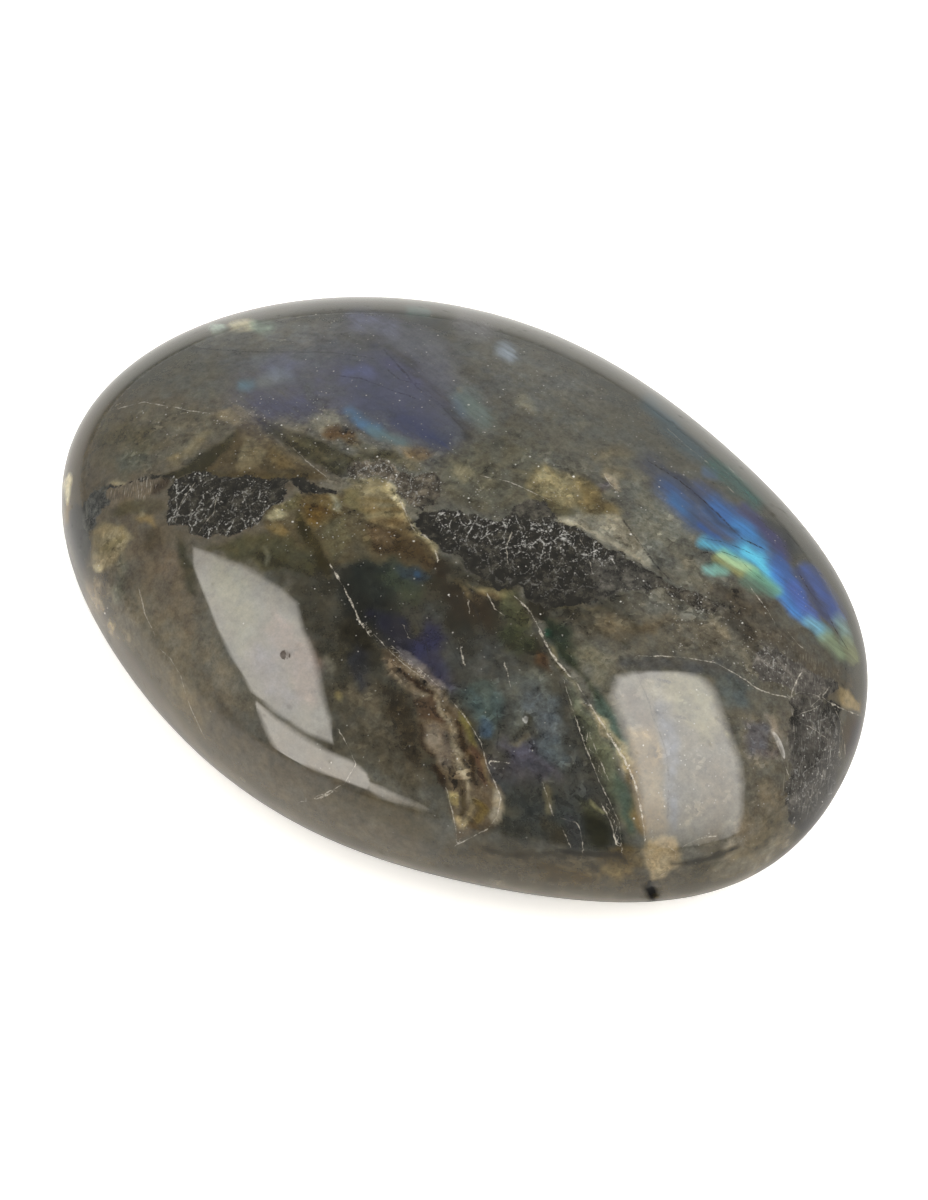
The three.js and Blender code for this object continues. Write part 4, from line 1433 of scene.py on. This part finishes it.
# The polish: a clear smooth gloss over a dull body
polish_bump = node("Bump", {"Strength": 0.25, "Distance": 0.0001, "Height": calc("SUBTRACT", 1.0, pit)})
polish = calc("MULTIPLY_ADD", amount_of("dull"), -0.92, 1.0)
tree.links.new(colour, shader.inputs["Base Color"])
tree.links.new(polish_bump.outputs[0], shader.inputs["Coat Normal"])
tree.links.new(polish, shader.inputs["Coat Weight"])
shader.inputs["Roughness"].default_value = 0.5
shader.inputs["Specular IOR Level"].default_value = 0.0
shader.inputs["Coat Roughness"].default_value = 0.03
shader.inputs["Coat IOR"].default_value = GLOSS_IOR

# Floor, lights and camera

FLOOR_REACH = 900.0
FLOOR_ALBEDO = 0.82
SHOWN_FLOOR_ALBEDO = 1.45  # the floor as the camera sees it, overexposed as in the photograph
LOWEST_LAMP = 1.0  # how far above the floor a lamp's lowest corner stays

# Lights: name, radiance, colour, where it dims or None, outline. An outline is what the stone mirrors, in
# the photograph's pixels, each point with how soft the edge is there. Where it dims: how bright its end
# is, the pixel there, and the pixel where it is full.
LIGHTS = (
    ("left_panel", 5.5, (1, 0.955, 0.88), (0.72, (215, 560), (235, 600)),
     "193,547,5 223,560,7 246,567,7 280,588,6 297,603,6 303,630,8 312,651,9 319,675,8 324,700,8 "
     "330,719,7 333,743,6 305,732,6 287,720,6 269,707,5 259,697,4 251,690,3 241,673,3 228,650,3 "
     "218,628,3 209,605,3 200,584,3 194,566,3"),
    ("left_lower_panel", 6.2, (1, 0.94, 0.86), None,
     "256,701,4 275,719,5 294,731,6 312,742,6 332,752,5 350,760,4 360,767,3 368,775,3 371,784,3 "
     "368,789,3 359,787,3 341,779,3 314,769,3 290,761,4 280,758,5 274,746,7 266,729,7 260,713,6"),
    ("trail_panel", 5.2, (1, 0.94, 0.85), (0.25, (426, 810), (376, 788)),
     "370,783,4 384,789,5 400,796,6 416,803,7 432,812,7 412,809,6 396,804,5 380,797,4 369,791,3"),
    ("right_panel", 6.6, (1, 0.965, 0.905), (0.2, (690, 850), (690, 715)),
     "617,677,10 634,673,6 649,671,4 672,671,4 693,675,7 705,681,10 713,691,12 718,705,12 725,723,12 "
     "731,741,12 737,757,11 741,776,10 741,797,9 740,819,7 738,833,6 731,845,4 716,849,3 698,852,3 "
     "681,854,3 662,850,4 646,838,8 640,810,12 635,775,14 629,744,14 622,722,14 613,697,14"),
)


def by_ray(kind, usual, special):
    """A value that is another one for a kind of ray."""
    return node("Mix", {0: node("LightPath").outputs[kind], 2: usual, 3: special}).outputs[0]


def make_floor():
    """A pale floor. The camera sees it white, and the polish mirrors it as the photograph shows, with
    painted light and shade in the colour that it mirrors.
    """
    reach = FLOOR_REACH * MM
    floor_mesh = bpy.data.meshes.new("floor")
    corners = [(-reach, -reach, 0), (reach, -reach, 0), (reach, reach, 0), (-reach, reach, 0)]
    floor_mesh.from_pydata(corners, [], [(0, 1, 2, 3)])
    floor = bpy.data.objects.new("floor", floor_mesh)
    bpy.context.scene.collection.objects.link(floor)
    paint = bpy.data.materials.new("pale_floor")
    floor_mesh.materials.append(paint)
    start_nodes(paint)
    spot = node("TexCoord").outputs["Object"]
    mirrored_colour_with_painted_light = MIRRORED_FLOOR_ALBEDO
    # Painted light and shade: the mirrored colour is made paler or darker by place.
    for direction, (low, high), shares in (
        (BEYOND, NEAR_FLOOR, (DISTANT_SHARE, 1)),
        (BACK_LEFT, ACROSS_FLOOR, (RIGHT_SHARE, LEFT_SHARE)),
        (-right, LEFT_FLOOR, (1, FAR_LEFT_SHARE)),
        (BEYOND, FAR_FLOOR, (1, HORIZON_SHARE)),
    ):
        mirrored_colour_with_painted_light = times(mirrored_colour_with_painted_light, step(dot(spot, direction), low * MM, high * MM, *shares))
    albedo = by_ray("Is Glossy Ray", FLOOR_ALBEDO, mirrored_colour_with_painted_light)
    albedo = by_ray("Is Camera Ray", albedo, SHOWN_FLOOR_ALBEDO)
    dull = node("BsdfDiffuse", {"Color": albedo})
    node("OutputMaterial", {0: dull.outputs[0]})


def edges_of(outline):
    """The inner and outer edge of a soft outline of the picture."""
    points = np.array([point[:2] for point in outline])
    softness = np.array([point[2] for point in outline])
    run = np.roll(points, -1, 0) - np.roll(points, 1, 0)
    away = np.stack([run[:, 1], -run[:, 0]], -1) / np.hypot(run[:, 0], run[:, 1])[:, None]
    if ((points - points.mean(0)) * away).sum() < 0:
        away = -away
    return points - away * softness[:, None] / 2, points + away * softness[:, None] / 2


def softbox(name, radiance, colour, dim_end, outline):
    """A glowing panel whose mirror image in the stone has this outline in the photograph."""
    edges = np.concatenate(edges_of(outline))
    reaches = [mirrored(pixel) for pixel in edges]
    facing = sum((ray for _, ray in reaches), Vector()).normalized()

    def on_panel(place, ray):
        corner = place + ray * ((LAMP_DISTANCE - place.dot(facing)) / ray.dot(facing))
        corner.z = max(corner.z, LOWEST_LAMP)
        return corner * MM

    corners = [on_panel(place, ray) for place, ray in reaches]
    count = len(outline)
    ring = [(k, (k + 1) % count, count + (k + 1) % count, count + k) for k in range(count)]
    panel = bpy.data.meshes.new(name)
    panel.from_pydata(corners, [], [tuple(range(count))] + ring)
    shine = panel.attributes.new("shine", "FLOAT", "POINT")
    shine.data.foreach_set("value", [1.0] * count + [0.0] * count)
    lamp = bpy.data.objects.new(name, panel)
    bpy.context.scene.collection.objects.link(lamp)
    lamp.visible_camera = False
    light = bpy.data.materials.new(name)
    panel.materials.append(light)
    start_nodes(light)
    strength = radiance
    if dim_end:
        least, dim_pixel, full_pixel = dim_end
        dim_place = on_panel(*mirrored(dim_pixel))
        run = on_panel(*mirrored(full_pixel)) - dim_place
        direction = run.normalized()
        start = dim_place.dot(direction)
        along = dot(node("TexCoord").outputs["Object"], direction)
        strength = step(along, start, start + run.length, radiance * least, radiance)
    emission = node("Emission", {"Color": (*colour, 1), "Strength": strength})
    clear = node("BsdfTransparent")
    both = node("MixShader", {0: amount_of("shine"), 1: clear.outputs[0], 2: emission.outputs[0]})
    node("OutputMaterial", {0: both.outputs[0]})


def make_world():
    """A dim studio with a bright backdrop for the polish to mirror, and an even fill light."""
    world = bpy.data.worlds.new("studio")
    bpy.context.scene.world = world
    start_nodes(world)
    towards = dot(node("TexCoord").outputs["Generated"], TO_BACKDROP)
    level = by_ray("Is Glossy Ray", FILL, step(towards, *BACKDROP_EDGE, DIM_ROOM, BRIGHT_BACKDROP))
    level = by_ray("Is Camera Ray", level, 1.0)
    background = node("Background", {"Color": level})
    node("OutputWorld", {0: background.outputs[0]})


def make_camera():
    camera_data = bpy.data.cameras.new("camera")
    camera_data.lens = LENS
    camera_data.sensor_width = SENSOR
    camera_data.clip_start = 0.01
    camera_data.clip_end = 10
    camera = bpy.data.objects.new("camera", camera_data)
    bpy.context.scene.collection.objects.link(camera)
    turn = Matrix([list(right), list(upright), list(back)]).transposed()
    camera.matrix_world = Matrix.Translation(Vector(eye * MM)) @ turn.to_4x4()
    bpy.context.scene.camera = camera
    bpy.context.scene.view_settings.view_transform = "Standard"


make_floor()
for *light, outline in marks(*LIGHTS):
    softbox(*light, outline)
make_world()
make_camera()
